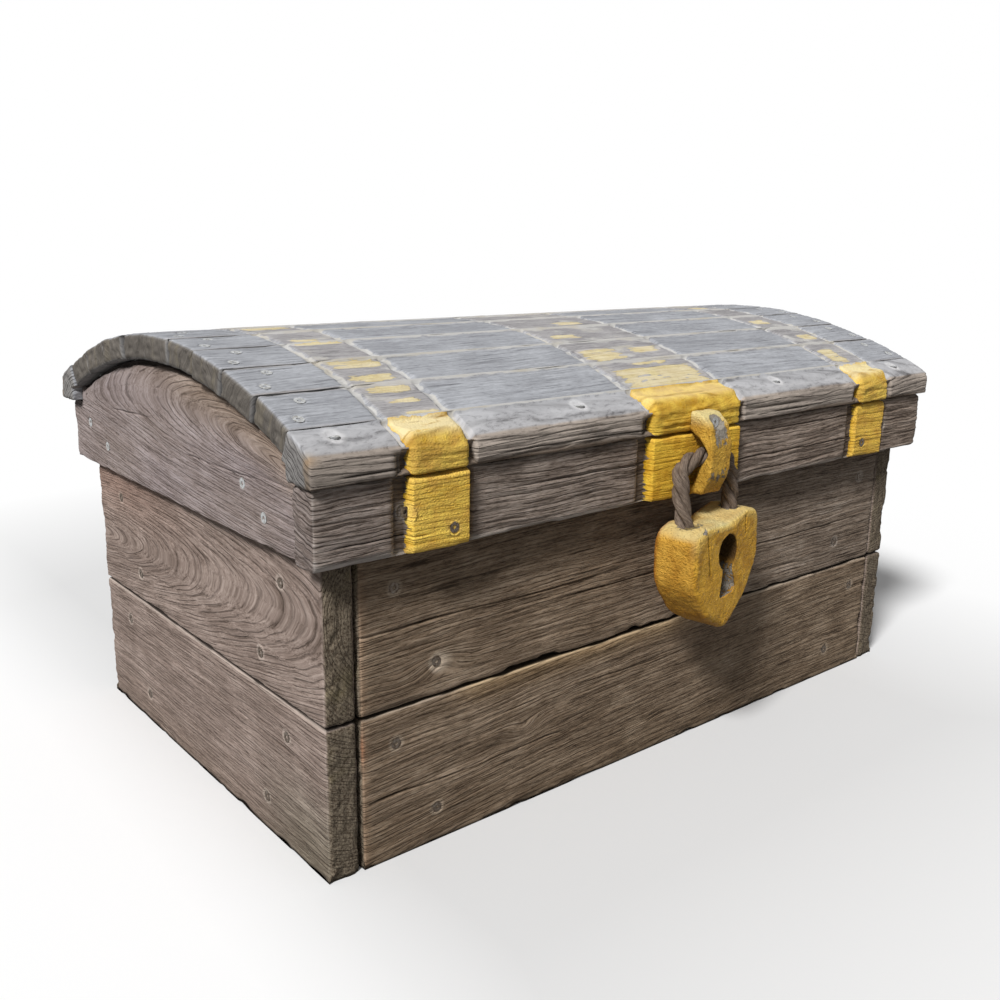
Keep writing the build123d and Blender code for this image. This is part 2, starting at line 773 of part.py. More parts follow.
def lock_block():
    heart = Pos(0, -lock_thickness / 2, 0) * extrude(heart_face(), amount=lock_thickness, dir=(0, 1, 0))
    rims = [e for e in heart.edges() if abs(e.center().Y) > lock_thickness / 2 - lock_round / 4]
    return lock_frame * (fillet(rims, lock_round) - keyhole())


lock_forward_way = in_lock(0, 0, 0) - in_lock(0, lock_thickness, 0)
rope_end_places = [
    drive(*in_lock(side * rope_leg_spread, lock_thickness / 2, -rope_socket_depth / 2), lock_forward_way)
    for side in (-1, 1)
]
padlock = lock_block()
padlock -= [rope_socket(leg_foot_left, leg_top_left), rope_socket(leg_foot_right, leg_top_right)]
save("padlock_block", bored(padlock, small_screw, rope_end_places))
save("rope_end_screws", driven(small_screw, rope_end_places))
save("shackle_rope", rope_tube)


# Hinges: leaves on the rear wall and under the lid's rear overhang, round a loose pin

def knuckles(middle, own):
    """The knuckles of one leaf, every second one of the row."""
    pitch = hinge_length / knuckle_count
    tubes = []
    for index in range(knuckle_count):
        if index % 2 == own:
            x0 = middle - hinge_length / 2 + index * pitch + knuckle_gap / 2
            ring = Plane(origin=(x0, hinge_axis_y, hinge_axis_z), z_dir=(1, 0, 0)) * (
                Circle(knuckle_radius) - Circle(pin_radius + pin_gap))
            tubes.append(extrude(ring, amount=pitch - knuckle_gap))
    return tubes


def knuckle_clearance(middle, own):
    """The room that one leaf leaves round the other leaf's knuckles."""
    pitch = hinge_length / knuckle_count
    spaces = []
    for index in range(knuckle_count):
        if index % 2 != own:
            x0 = middle - hinge_length / 2 + index * pitch - knuckle_gap / 2
            start = Plane(origin=(x0, hinge_axis_y, hinge_axis_z), z_dir=(1, 0, 0))
            spaces.append(extrude(start * Circle(knuckle_radius + hinge_gap), amount=pitch + knuckle_gap))
    return spaces


for name, hand in (("left", -1), ("right", 1)):
    middle = hand * hinge_spread / 2
    x0, x1 = middle - hinge_length / 2, middle + hinge_length / 2
    rear = box_depth / 2
    bore_start = Plane(origin=(x0 - over, hinge_axis_y, hinge_axis_z), z_dir=(1, 0, 0))
    bore = extrude(bore_start * Circle(pin_radius + pin_gap), amount=hinge_length + 2 * over)

    places = wall_leaf_places[hand]
    leaf = block(x0, x1, rear, rear + leaf_thickness, hinge_axis_z - wall_leaf_height, hinge_axis_z)
    leaf = leaf - knuckle_clearance(middle, 0) + knuckles(middle, 0)
    save(f"{name}_hinge_wall_leaf", bored(leaf - bore, small_screw, places))

    under = lid_underside - leaf_thickness
    places = lid_leaf_places[hand]
    leaf = block(x0, x1, hinge_axis_y, hinge_axis_y + lid_leaf_width, under, lid_underside)
    leaf = leaf - knuckle_clearance(middle, 1)
    web = block(x0, x1, hinge_axis_y, hinge_axis_y + knuckle_radius, hinge_axis_z, lid_underside)
    web = web - knuckle_clearance(middle, 1)
    leaf = leaf + web + knuckles(middle, 1)
    save(f"{name}_hinge_lid_leaf", bored(leaf - bore, small_screw, places))

    shaft = Plane(origin=(x0, hinge_axis_y, hinge_axis_z), z_dir=(1, 0, 0))
    pin = extrude(shaft * Circle(pin_radius), amount=hinge_length)
    cap = Plane(origin=(x0 - pin_head_height, hinge_axis_y, hinge_axis_z), z_dir=(1, 0, 0))
    pin += extrude(cap * Circle(pin_head_radius), amount=pin_head_height)
    save(f"{name}_hinge_pin", pin)

save("hinge_wall_screws", driven(small_screw, wall_leaf_places[-1] + wall_leaf_places[1]))
save("hinge_lid_screws", driven(small_screw, lid_leaf_places[-1] + lid_leaf_places[1]))
print("hinge axis", round(hinge_axis_y, 2), round(hinge_axis_z, 2))
print("roof radius", round(roof_radius, 1), "centre", round(roof_centre_z, 1), "lid middle", lid_middle)
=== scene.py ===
import math

import bpy
import numpy as np
from mathutils import Matrix, Vector


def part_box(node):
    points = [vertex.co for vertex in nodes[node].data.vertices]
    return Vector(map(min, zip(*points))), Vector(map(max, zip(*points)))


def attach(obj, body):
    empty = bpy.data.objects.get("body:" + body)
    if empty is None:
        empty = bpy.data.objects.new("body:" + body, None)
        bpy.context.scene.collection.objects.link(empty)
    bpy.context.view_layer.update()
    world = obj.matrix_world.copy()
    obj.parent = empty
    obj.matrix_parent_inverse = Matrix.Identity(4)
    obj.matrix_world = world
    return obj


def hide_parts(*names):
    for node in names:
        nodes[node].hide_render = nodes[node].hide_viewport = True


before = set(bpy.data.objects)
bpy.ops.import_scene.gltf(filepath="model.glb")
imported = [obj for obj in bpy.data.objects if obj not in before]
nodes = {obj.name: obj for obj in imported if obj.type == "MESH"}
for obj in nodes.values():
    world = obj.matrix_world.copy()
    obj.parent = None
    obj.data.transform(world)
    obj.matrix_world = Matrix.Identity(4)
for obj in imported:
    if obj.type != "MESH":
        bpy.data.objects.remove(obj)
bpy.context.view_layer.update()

# Sizes in metres, as the chest was built
POST_WIDTH = 0.145
PLANK_ROUND = 0.006
BLOCK_WIDTH = 0.160
BLOCK_HEIGHT = 0.092
RAIL_THICKNESS = 0.045
PANEL_THICKNESS = 0.045
PANEL_GROOVE = 0.008
STAVE_THICKNESS = 0.037
STAVE_SEAM = 0.0008
EAVE_WIDTH = 0.040
EAVE_ROUND = 0.011
MAIN_STAVES = 9
BOX_HALF = 0.600
STRAP_SPANS = ((-0.4995, -0.4145), (-0.0950, 0.0950), (0.4145, 0.4995))
STRAP_RELIEFS = (0.010, 0.010, 0.004)
STRAP_GROOVE = 0.010
STRAP_GROOVE_DEPTH = 0.006
HEAD_RADIUS = 0.007
SCREW_SINK = 0.0008
ROPE_RADIUS = 0.013

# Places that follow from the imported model
lid_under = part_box("front_rail")[0].z
rail_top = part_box("front_rail")[1].z
lid_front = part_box("left_end_panel")[0].y - RAIL_THICKNESS
lid_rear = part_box("left_end_panel")[1].y
rail_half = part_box("front_rail")[1].x
panel_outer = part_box("right_end_panel")[1].x
panel_inner = panel_outer - PANEL_THICKNESS
lid_middle = (lid_front + lid_rear) / 2
eave_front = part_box("front_eave_stave")[0].y
eave_half = lid_middle - eave_front
eave_top = rail_top + STAVE_THICKNESS
crown_stave = f"stave_{(MAIN_STAVES + 1) // 2}"
roof_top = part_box(crown_stave)[1].z
roof_radius = (eave_half ** 2 + (roof_top - eave_top) ** 2) / (2 * (roof_top - eave_top))
roof_centre = roof_top - roof_radius
seam_angle = math.asin((lid_middle - lid_front - EAVE_WIDTH) / roof_radius)
stave_angle = 2 * seam_angle / MAIN_STAVES


# Small tools: new pieces, random numbers and sampling

LATTICE_SIZE = 32
LATTICES = np.random.default_rng(11).uniform(-1, 1, (16, LATTICE_SIZE, LATTICE_SIZE, LATTICE_SIZE))
LATTICE_SHIFT = 7.31


def noise(x, y, z, seed):
    """Smooth random value from -1 to 1. The lattice's eight values round the point are blended, each
    weighted by the smoothstep of the distance to it along x, y and z."""
    table = LATTICES[seed % len(LATTICES)]
    q = np.stack(np.broadcast_arrays(x, y, z), -1) + seed * LATTICE_SHIFT
    cell = np.floor(q).astype(np.int64)
    t = q - cell
    t = t * t * (3 - 2 * t)
    total = 0
    for corner in np.ndindex(2, 2, 2):
        weight = np.prod(np.where(corner, t, 1 - t), axis=-1)
        i = (cell + corner) % LATTICE_SIZE
        total = total + weight * table[i[..., 0], i[..., 1], i[..., 2]]
    return total


def step(value, low, high):
    """0 below low, 1 above high and a smooth cubic between."""
    t = np.clip((value - low) / (high - low), 0, 1)
    return t * t * (3 - 2 * t)


def band(value, rise, fall):
    """1 from the rise to the fall and 0 outside, each a pair of places with a smooth cubic between."""
    return step(value, *rise) * step(value, *fall)


def spread(low, high, gap, fine=(), fine_gap=0.0014, reach=0.006):
    """Positions from low to high, about gap apart and fine_gap apart within reach of each fine place.
    They are equal steps of the summed density of points."""
    x = np.linspace(low, high, 3000)
    density = np.full_like(x, 1 / gap)
    for place in fine:
        near = 1 - step(np.abs(x - place), reach, 1.8 * reach)
        density = np.maximum(density, near / fine_gap)
    total = np.concatenate([[0], np.cumsum((density[1:] + density[:-1]) / 2 * np.diff(x))])
    return np.interp(np.linspace(0, total[-1], int(math.ceil(total[-1])) + 1), total, x)


def skin(name, points, fields=None, loop=False):
    """A closed surface over a grid of points, one ring of points a row. The ends are closed by a fan to
    the middle of the end ring, or with loop the last ring joins the first."""
    rows, ring = points.shape[:2]
    index = np.arange(rows * ring).reshape(rows, ring)
    if loop:
        index = np.concatenate([index, index[:1]])
    here, there = index[:-1], index[1:]
    quads = np.stack([here, np.roll(here, -1, 1), np.roll(there, -1, 1), there], -1).reshape(-1, 4)
    verts = points.reshape(-1, 3)
    triangles = np.zeros((0, 3), int)
    if not loop:
        poles = np.array([points[0].mean(0), points[-1].mean(0)])
        verts = np.concatenate([verts, poles])
        first, last = index[0], index[-1]
        fan_in = np.stack([np.roll(first, -1), first, np.full(ring, rows * ring)], -1)
        fan_out = np.stack([last, np.roll(last, -1), np.full(ring, rows * ring + 1)], -1)
        triangles = np.concatenate([fan_in, fan_out])
    halves = np.concatenate([quads[:, [0, 1, 2]], quads[:, [0, 2, 3]], triangles])
    corners = verts[halves]
    volume = np.einsum("ij,ij->", corners[:, 0], np.cross(corners[:, 1], corners[:, 2]))
    if volume < 0:
        quads, triangles = quads[:, ::-1], triangles[:, ::-1]
    mesh = bpy.data.meshes.new(name)
    mesh.vertices.add(len(verts))
    mesh.vertices.foreach_set("co", verts.astype(np.float32).ravel())
    mesh.loops.add(quads.size + triangles.size)
    mesh.loops.foreach_set("vertex_index", np.concatenate([quads.ravel(), triangles.ravel()]))
    totals = np.concatenate([np.full(len(quads), 4), np.full(len(triangles), 3)])
    mesh.polygons.add(len(totals))
    mesh.polygons.foreach_set("loop_start", np.concatenate([[0], np.cumsum(totals)[:-1]]))
    mesh.polygons.foreach_set("use_smooth", np.ones(len(totals), bool))
    mesh.update(calc_edges=True)
    for field, values in (fields or {}).items():
        width = values.shape[-1]
        kind, key = ("FLOAT_VECTOR", "vector") if width == 3 else ("FLOAT_COLOR", "color")
        flat = values.reshape(-1, width)
        if not loop:
            flat = np.concatenate([flat, [values[0].mean(0), values[-1].mean(0)]])
        mesh.attributes.new(field, kind, "POINT").data.foreach_set(key, flat.astype(np.float32).ravel())
    mesh.validate()
    piece = bpy.data.objects.new(name, mesh)
    bpy.context.scene.collection.objects.link(piece)
    return piece


def outward(points, loop=False):
    """Unit normals of the grid: the cross product of its two directions, turned away from its middle."""
    if loop:
        down = np.roll(points, -1, 0) - np.roll(points, 1, 0)
    else:
        down = np.gradient(points, axis=0)
    across = np.roll(points, -1, 1) - np.roll(points, 1, 1)
    normal = np.cross(down, across)
    normal /= np.maximum(np.linalg.norm(normal, axis=-1, keepdims=True), 1e-12)
    sign = np.sign(np.sum((points - points.reshape(-1, 3).mean(0)) * normal))
    return normal * sign


def finish(piece, material, body, slot, *replaced):
    """Gives the piece its material and body, and hides the nodes that it stands for. The slot is not used."""
    piece.data.materials.append(material)
    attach(piece, body)
    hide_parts(*replaced)


# Camera, at the photograph's viewpoint

CAMERA_PLACE = Vector((-1.1564, -1.3546, 0.7736))
CAMERA_YAW, CAMERA_PITCH, CAMERA_ROLL = (math.radians(a) for a in (39.61, 14.26, 0.70))
FOCAL_PIXELS = 1039.1
PICTURE_PIXELS = 1000
SENSOR_WIDTH = 36.0


def make_camera():
    """The lens in the sensor's millimetres, and axes turned by the yaw, then the pitch, then the roll."""
    flat = math.cos(CAMERA_PITCH)
    forward = Vector((math.sin(CAMERA_YAW) * flat, math.cos(CAMERA_YAW) * flat, -math.sin(CAMERA_PITCH)))
    level = Vector((math.cos(CAMERA_YAW), -math.sin(CAMERA_YAW), 0))
    raised = level.cross(forward)
    right = level * math.cos(CAMERA_ROLL) + raised * math.sin(CAMERA_ROLL)
    up = raised * math.cos(CAMERA_ROLL) - level * math.sin(CAMERA_ROLL)
    turn = Matrix((right, up, -forward)).transposed().to_4x4()
    data = bpy.data.cameras.new("camera")
    data.sensor_width = SENSOR_WIDTH
    data.lens = FOCAL_PIXELS * SENSOR_WIDTH / PICTURE_PIXELS
    camera = bpy.data.objects.new("camera", data)
    camera.matrix_world = Matrix.Translation(CAMERA_PLACE) @ turn
    bpy.context.scene.collection.objects.link(camera)
    bpy.context.scene.camera = camera


make_camera()


# Materials

def colour(code):
    """The linear colour, with alpha 1, of an sRGB hex value."""
    parts = [int(code[i:i + 2], 16) / 255 for i in (1, 3, 5)]
    return [p / 12.92 if p <= 0.04045 else ((p + 0.055) / 1.055) ** 2.4 for p in parts] + [1]


def feed(tree, sockets, values):
    """Each socket gets its value, or a link to it where it is another node's output."""
    for socket, value in zip(sockets, values):
        if isinstance(value, bpy.types.NodeSocket):
            tree.links.new(value, socket)
        else:
            socket.default_value = value


def add(tree, kind, *inputs, **settings):
    """Adds a shader node of that kind with its settings. Its inputs are values or outputs, in the order
    of the sockets that are in use. Gives the node's first output in use."""
    made = tree.nodes.new("ShaderNode" + kind)
    for key, value in settings.items():
        setattr(made, key, value)
    feed(tree, [socket for socket in made.inputs if socket.enabled], inputs)
    return next(socket for socket in made.outputs if socket.enabled)


def new_material(name):
    """A material of that name, its nodes, and the place of each point on the chest."""
    material = bpy.data.materials.new(name)
    material.use_nodes = True
    tree = material.node_tree
    return material, tree, add(tree, "TexCoord").node.outputs["Object"]


def carried(tree):
    """What the mesh carries: its four marks, and its tint."""
    marks = add(tree, "Attribute", attribute_name="marks").node.outputs
    tint = add(tree, "Attribute", attribute_name="tint").node.outputs["Color"]
    parts = add(tree, "SeparateColor", marks["Color"]).node.outputs
    return parts[0], parts[1], parts[2], marks["Alpha"], tint


def surface(tree, tone, roughness, height, distance, specular=0.5, metallic=0.0):
    """Gives the material its colour, roughness and reflection, raised by the height times a distance."""
    raised = add(tree, "Bump")
    feed(tree, [raised.node.inputs[key] for key in ("Height", "Distance")], (height, distance))
    coat = tree.nodes["Principled BSDF"].inputs
    feed(tree, [coat[key] for key in ("Base Color", "Roughness", "Normal", "Specular IOR Level", "Metallic")],
         (tone, roughness, raised, specular, metallic))


def seen_directly(tree):
    """1 for what the camera sees, also in a mirror or through glass, and 0 for light on the chest."""
    path = add(tree, "LightPath").node.outputs
    seen = add(tree, "Math", path["Is Camera Ray"], path["Is Glossy Ray"], operation="MAXIMUM")
    return add(tree, "Math", seen, path["Is Transmission Ray"], operation="MAXIMUM")


def stretched(tree, vector, sizes, detail=2.0, rough=0.55):
    """Random value from 0 to 1 that changes over the given lengths along the vector's three parts."""
    scaled = add(tree, "VectorMath", vector, [1 / s for s in sizes], operation="MULTIPLY")
    return add(tree, "TexNoise", scaled, 1.0, detail, rough)


def paint_colours(tree, place, deep, plain, faded, pale):
    """Thick oil paint on rough wood: soft blotches, dark grit, and a sun-faded tone where pale is high."""
    cloud = stretched(tree, place, (0.022, 0.022, 0.022), 4.0, 0.6)
    grit = stretched(tree, place, (0.0030, 0.0030, 0.0022), 3.0, 0.6)
    tone = add(tree, "Mix", add(tree, "MapRange", cloud, 0.62, 0.36), colour(plain), colour(deep),
               data_type="RGBA")
    tone = add(tree, "Mix", add(tree, "MapRange", grit, 0.47, 0.34, 0.0, 0.55), tone, colour(deep),
               data_type="RGBA")
    return add(tree, "Mix", pale, tone, colour(faded), data_type="RGBA"), grit


def year_furrows(tree, grain, ring):
    """1 in the thin broken furrows that follow the year rings, and 0 between them. The rings are ring
    apart, and sway along the grain."""
    across = add(tree, "SeparateXYZ", grain)
    sway = stretched(tree, grain, (2.2 * ring, 0.120, 1), 2.0)
    phase = add(tree, "Math", add(tree, "Math", across, 1 / ring, operation="MULTIPLY"),
                add(tree, "Math", sway, 1.9, operation="MULTIPLY"), operation="ADD")
    wave = add(tree, "Math", phase, 0.5, operation="PINGPONG")
    whole = add(tree, "MapRange", stretched(tree, grain, (1.1 * ring, 0.050, 1), 2.0), 0.38, 0.50)
    return add(tree, "Math", add(tree, "MapRange", wave, 0.19, 0.03), whole, operation="MULTIPLY")


CRACK_TONE, PORE_TONE, GRIME_AND_SHADE_TONE = "#1E1712", "#2A211A", "#17110C"


def weathered(name, furrow_tone, dark, middle, light, bleached, fibre=0.0012, bump=0.0020, ring=0.0052,
              furrow=0.50, pore=0.38, paint=None):
    """Timber left out of doors: short dark pores, lines and bands along the grain, furrows along the year
    rings, patches where the sun has bleached it, and marks of soiling and painted shade, lichen and paint,
    or of rough end grain, that the mesh carries. Fibre is a pore's width, bump the height of the relief
    and ring the distance from one furrow to the next, in metres."""
    material, tree, place = new_material(name)
    grain = add(tree, "Attribute", attribute_name="grain").node.outputs["Vector"]
    painted, pale, grime_and_shade, lichen, tint = carried(tree)

    pores = stretched(tree, grain, (fibre, 9 * fibre, 1), 3.0, 0.70)
    lines = stretched(tree, grain, (2.0 * fibre, 60 * fibre, 1), 3.0, 0.60)
    bands = stretched(tree, grain, (9 * fibre, 260 * fibre, 1), 2.0)
    patch = stretched(tree, place, (0.09, 0.09, 0.06), 4.0, 0.6)
    mixed = add(tree, "Math", add(tree, "Math", pores, 0.40, operation="MULTIPLY"),
                add(tree, "Math", lines, 0.42, operation="MULTIPLY"), operation="ADD")
    mixed = add(tree, "Math", mixed, add(tree, "Math", bands, 0.18, operation="MULTIPLY"), operation="ADD")
    dash = add(tree, "MapRange", pores, 0.43, 0.35)
    rung = year_furrows(tree, grain, ring)

    tone = add(tree, "Mix", add(tree, "MapRange", mixed, 0.375, 0.500), colour(dark), colour(middle),
               data_type="RGBA")
    tone = add(tree, "Mix", add(tree, "MapRange", mixed, 0.500, 0.630), tone, colour(light),
               data_type="RGBA")
    tone = add(tree, "Mix", add(tree, "Math", rung, 0.75 * furrow, operation="MULTIPLY"), tone,
               colour(furrow_tone), data_type="RGBA")
    tone = add(tree, "Mix", add(tree, "MapRange", patch, 0.62, 0.36, 0.0, 0.38), tone, colour(dark),
               data_type="RGBA")
    tone = add(tree, "Mix", add(tree, "MapRange", patch, 0.50, 0.75, 0.0, 0.30), tone, colour(light),
               data_type="RGBA")
    worn = add(tree, "MapRange",
               add(tree, "Math", pale, add(tree, "Math", mixed, 0.7, operation="ADD"),
                   operation="MULTIPLY"), 0.25, 0.95)
    tone = add(tree, "Mix", worn, tone, colour(bleached), data_type="RGBA")
    tone = add(tree, "Mix", 1.0, tone, tint, data_type="RGBA", blend_type="MULTIPLY")
    cut = add(tree, "Math", add(tree, "MapRange", lines, 0.40, 0.345),
              add(tree, "MapRange", bands, 0.62, 0.46), operation="MULTIPLY")
    tone = add(tree, "Mix", add(tree, "Math", cut, 1.4 * pore, operation="MULTIPLY"), tone,
               colour(CRACK_TONE), data_type="RGBA")
    tone = add(tree, "Mix",
               add(tree, "Math", dash, add(tree, "MapRange", worn, 0.0, 1.0, pore, 0.0),
                   operation="MULTIPLY"), tone, colour(PORE_TONE), data_type="RGBA")
    # The darkening mark: soiling in cracks and seams, and painted shade in hollows, gaps and along the
    # ground.
    dirt_and_shade = add(tree, "Math", grime_and_shade, add(tree, "Math", mixed, 0.6, operation="ADD"), operation="MULTIPLY")
    tone = add(tree, "Mix", add(tree, "MapRange", dirt_and_shade, 0.25, 0.95, 0.0, 0.93), tone, colour(GRIME_AND_SHADE_TONE),
               data_type="RGBA")
    spots = stretched(tree, place, (0.006, 0.006, 0.006), 5.0, 0.75)
    crust = add(tree, "MapRange",
                add(tree, "Math", lichen, add(tree, "Math", spots, 0.55, operation="ADD"),
                    operation="MULTIPLY"), 0.40, 0.58, 0.0, 0.85)
    yellowed = add(tree, "MapRange", patch, 0.50, 0.66, 0.0, 0.7)
    lichen_tone = add(tree, "Mix", yellowed, colour("#C6C4C0"), colour("#B9B09D"), data_type="RGBA")
    tone = add(tree, "Mix", crust, tone, lichen_tone, data_type="RGBA")

    height = add(tree, "Math", mixed, add(tree, "Math", cut, 0.35, operation="MULTIPLY"),
                 operation="SUBTRACT")
    height = add(tree, "Math", height, add(tree, "Math", rung, furrow, operation="MULTIPLY"),
                 operation="SUBTRACT")
    roughness = 0.9
    if paint:
        chips = add(tree, "Math", stretched(tree, grain, (0.0060, 0.040, 1), 4.0, 0.7), 2.2,
                    operation="MULTIPLY")
        cover = add(tree, "MapRange",
                    add(tree, "Math", painted, add(tree, "Math", chips, -1.1, operation="ADD"),
                        operation="ADD"), 0.44, 0.50)
        cover = add(tree, "Math", cover, add(tree, "MapRange", painted, 0.08, 0.20), operation="MULTIPLY")
        coat, grit = paint_colours(tree, place, *paint,
                                   add(tree, "Math", pale, painted, operation="MULTIPLY"))
        coat = add(tree, "Mix", add(tree, "MapRange", mixed, 0.47, 0.40, 0.0, 0.55), coat, colour(paint[0]),
                   data_type="RGBA")
        coat = add(tree, "Mix", 1.0, coat, tint, data_type="RGBA", blend_type="MULTIPLY")
        coat = add(tree, "Mix", add(tree, "Math", cut, 0.5, operation="MULTIPLY"), coat, colour("#6A470C"),
                   data_type="RGBA")
        coat = add(tree, "Mix", add(tree, "Math", rung, 0.7 * furrow, operation="MULTIPLY"), coat,
                   colour("#94680F"), data_type="RGBA")
        coat = add(tree, "Mix", add(tree, "MapRange", grime_and_shade, 0.35, 1.0, 0.0, 0.9), coat, colour("#2B1D0C"),
                   data_type="RGBA")
        tone = add(tree, "Mix", cover, tone, coat, data_type="RGBA")
        height = add(tree, "Math", height, add(tree, "MapRange", cover, 0.0, 1.0, 1.0, 0.45),
                     operation="MULTIPLY")
        height = add(tree, "Math", height,
                     add(tree, "Math", cover, add(tree, "Math", grit, 1.3, operation="MULTIPLY"),
                         operation="MULTIPLY"), operation="ADD")
        roughness = add(tree, "MapRange", cover, 0.0, 1.0, 0.9, 0.65)
    else:
        speck = stretched(tree, place, (0.0028, 0.0028, 0.0036), 4.0, 0.7)
        rough = add(tree, "Mix", add(tree, "MapRange", speck, 0.36, 0.60), colour("#4B3F33"),
                    colour("#8F8270"), data_type="RGBA")
        rough = add(tree, "Mix", add(tree, "MapRange", patch, 0.56, 0.72, 0.0, 0.35), rough,
                    colour("#8A8059"), data_type="RGBA")
        rough = add(tree, "Mix", add(tree, "Math", rung, 0.5 * furrow, operation="MULTIPLY"), rough,
                    colour("#332A22"), data_type="RGBA")
        rough = add(tree, "Mix", add(tree, "MapRange", grime_and_shade, 0.25, 0.95, 0.0, 0.93), rough,
                    colour(GRIME_AND_SHADE_TONE), data_type="RGBA")
        tone = add(tree, "Mix", painted, tone, rough, data_type="RGBA")
        height = add(tree, "Math", height,
                     add(tree, "Math", painted, add(tree, "Math", speck, 1.2, operation="MULTIPLY"),
                         operation="MULTIPLY"), operation="ADD")
    surface(tree, tone, roughness, height, bump, 0.15)
    return material


# Oil paint, as its dark, plain and sun-faded tones: thick and yellow on the straps, thin and cream on
# the roof
STRAP_PAINT = ("#CF9C1C", "#F4CC45", "#F3E7BC")
ROOF_PAINT = ("#C9BC8C", "#DDD4A4", "#EAE6D2")
# Front and rear planks: sawn oak gone brown-grey, matt, with coarse dark pores
wall_oak = weathered("weathered_oak_wall", "#3A2D23", "#5E4F41", "#8E7D6A", "#B4A492", "#BFB1A0")
# End planks: the same oak, paler and redder, with finer and closer rings
side_oak = weathered("weathered_oak_side", "#43372F", "#685A50", "#95857B", "#B6A69B", "#C3B5A9",
                     0.0009, 0.0015, 0.0046, 0.60, 0.16)
# Lid rails: deeply furrowed oak, which shows through the thick yellow paint of the straps
rail_oak = weathered("weathered_oak_rail", "#33281F", "#5A4D43", "#94867B", "#B9ABA0", "#C2B8AE",
                     0.0013, 0.0018, 0.0058, 0.65, 0.28, STRAP_PAINT)
# End panels: grey-violet oak, finer in grain, as the roof's overhang keeps rain off it
panel_oak = weathered("weathered_oak_panel", "#4A3D37", "#75675F", "#9E908A", "#B5A8A4", "#CABFBA",
                      0.0009, 0.0013, 0.0038, 0.58, 0.14)
# Staves: oak that sun and rain have bleached blue-grey and worn almost smooth
roof_oak = weathered("weathered_oak_roof", "#6B6C70", "#8A8B90", "#A6A8AD", "#BFC1C6", "#C9C9CB",
                     0.0012, 0.0012, 0.0065, 0.30, 0.12, ROOF_PAINT)
# Eaves: as the staves, but deeply furrowed on their faces, and painted as the rails are
eave_oak = weathered("weathered_oak_eave", "#4E4C4D", "#808084", "#ABACB0", "#BFC0C4", "#C9C9CB",
                     0.0013, 0.0016, 0.0056, 0.60, 0.26, STRAP_PAINT)


def solid_paint(name, deep, plain, faded):
    """Oil paint over a carved block: bumpy, worn to bare grey wood where the marks say so."""
    material, tree, place = new_material(name)
    bare, pale, grime_and_shade, _, tint = carried(tree)
    coat, grit = paint_colours(tree, place, deep, plain, faded, pale)
    coat = add(tree, "Mix", 1.0, coat, tint, data_type="RGBA", blend_type="MULTIPLY")
    coat = add(tree, "Mix", add(tree, "MapRange", grit, 0.45, 0.30, 0.0, 0.35), coat, colour("#6B4A17"),
               data_type="RGBA")
    chips = stretched(tree, place, (0.006, 0.006, 0.010), 4.0, 0.65)
    wood_fibre = stretched(tree, place, (0.002, 0.002, 0.03), 2.0)
    wood = add(tree, "Mix", wood_fibre, colour("#6E665E"), colour("#B5ADA0"), data_type="RGBA")
    worn = add(tree, "MapRange",
               add(tree, "Math", bare, add(tree, "Math", chips, -0.5, operation="ADD"), operation="ADD"),
               0.44, 0.52)
    tone = add(tree, "Mix", worn, coat, wood, data_type="RGBA")
    tone = add(tree, "Mix", add(tree, "MapRange", grime_and_shade, 0.25, 1.0, 0.0, 0.92), tone, colour("#2A1B0D"),
               data_type="RGBA")
    lump = stretched(tree, place, (0.0055, 0.0055, 0.0045), 4.0, 0.6)
    height = add(tree, "Math", lump, add(tree, "Math", grit, 0.7, operation="MULTIPLY"), operation="ADD")
    height = add(tree, "Math", height, add(tree, "Math", worn, 0.5, operation="MULTIPLY"),
                 operation="SUBTRACT")
    surface(tree, tone, add(tree, "MapRange", worn, 0.0, 1.0, 0.60, 0.88), height, 0.0036, 0.2)
    return material


# Ochre oil paint on carved wood: satin and lumpy, chipped to bare grey wood at the rims
lock_paint = solid_paint("worn_ochre_paint_lock", "#B8842B", "#DCA843", "#EADBA0")
# The same paint, a little brighter where the staple stands in the weather
staple_paint = solid_paint("worn_ochre_paint_staple", "#B98A30", "#E2B34A", "#EBDDA2")


# Rope shackle: three strands laid round the route that the tube of the model follows

ROPE_ROUTE = (
    (-0.0561, -0.4435, 0.3452),
    (-0.0600, -0.4185, 0.4408),
    (-0.0390, -0.4185, 0.4728),
    (0.0390, -0.4185, 0.4728),
    (0.0600, -0.4185, 0.4408),
    (0.0616, -0.4206, 0.3515),
)
STRAND_RADIUS = 0.0064
ROPE_LAY = 0.095
YARN_LAY = 0.045
YARNS_PER_STRAND = 6
YARN_DEPTH = 0.0004


def rope_line():
    """Points along the smooth line of the route, read from its NURBS spline."""
    data = bpy.data.curves.new("rope_route", "CURVE")
    data.dimensions = "3D"
    data.resolution_u = 40
    spline = data.splines.new("NURBS")
    spline.points.add(len(ROPE_ROUTE) - 1)
    for point, place in zip(spline.points, ROPE_ROUTE):
        point.co = (*place, 1)
    spline.order_u = 3
    spline.use_endpoint_u = True
    route = bpy.data.objects.new("rope_route", data)
    bpy.context.scene.collection.objects.link(route)
    bpy.context.view_layer.update()
    mesh = bpy.data.meshes.new_from_object(route)
    line = np.empty(len(mesh.vertices) * 3)
    mesh.vertices.foreach_get("co", line)
    bpy.data.objects.remove(route)
    bpy.data.meshes.remove(mesh)
    return line.reshape(-1, 3)


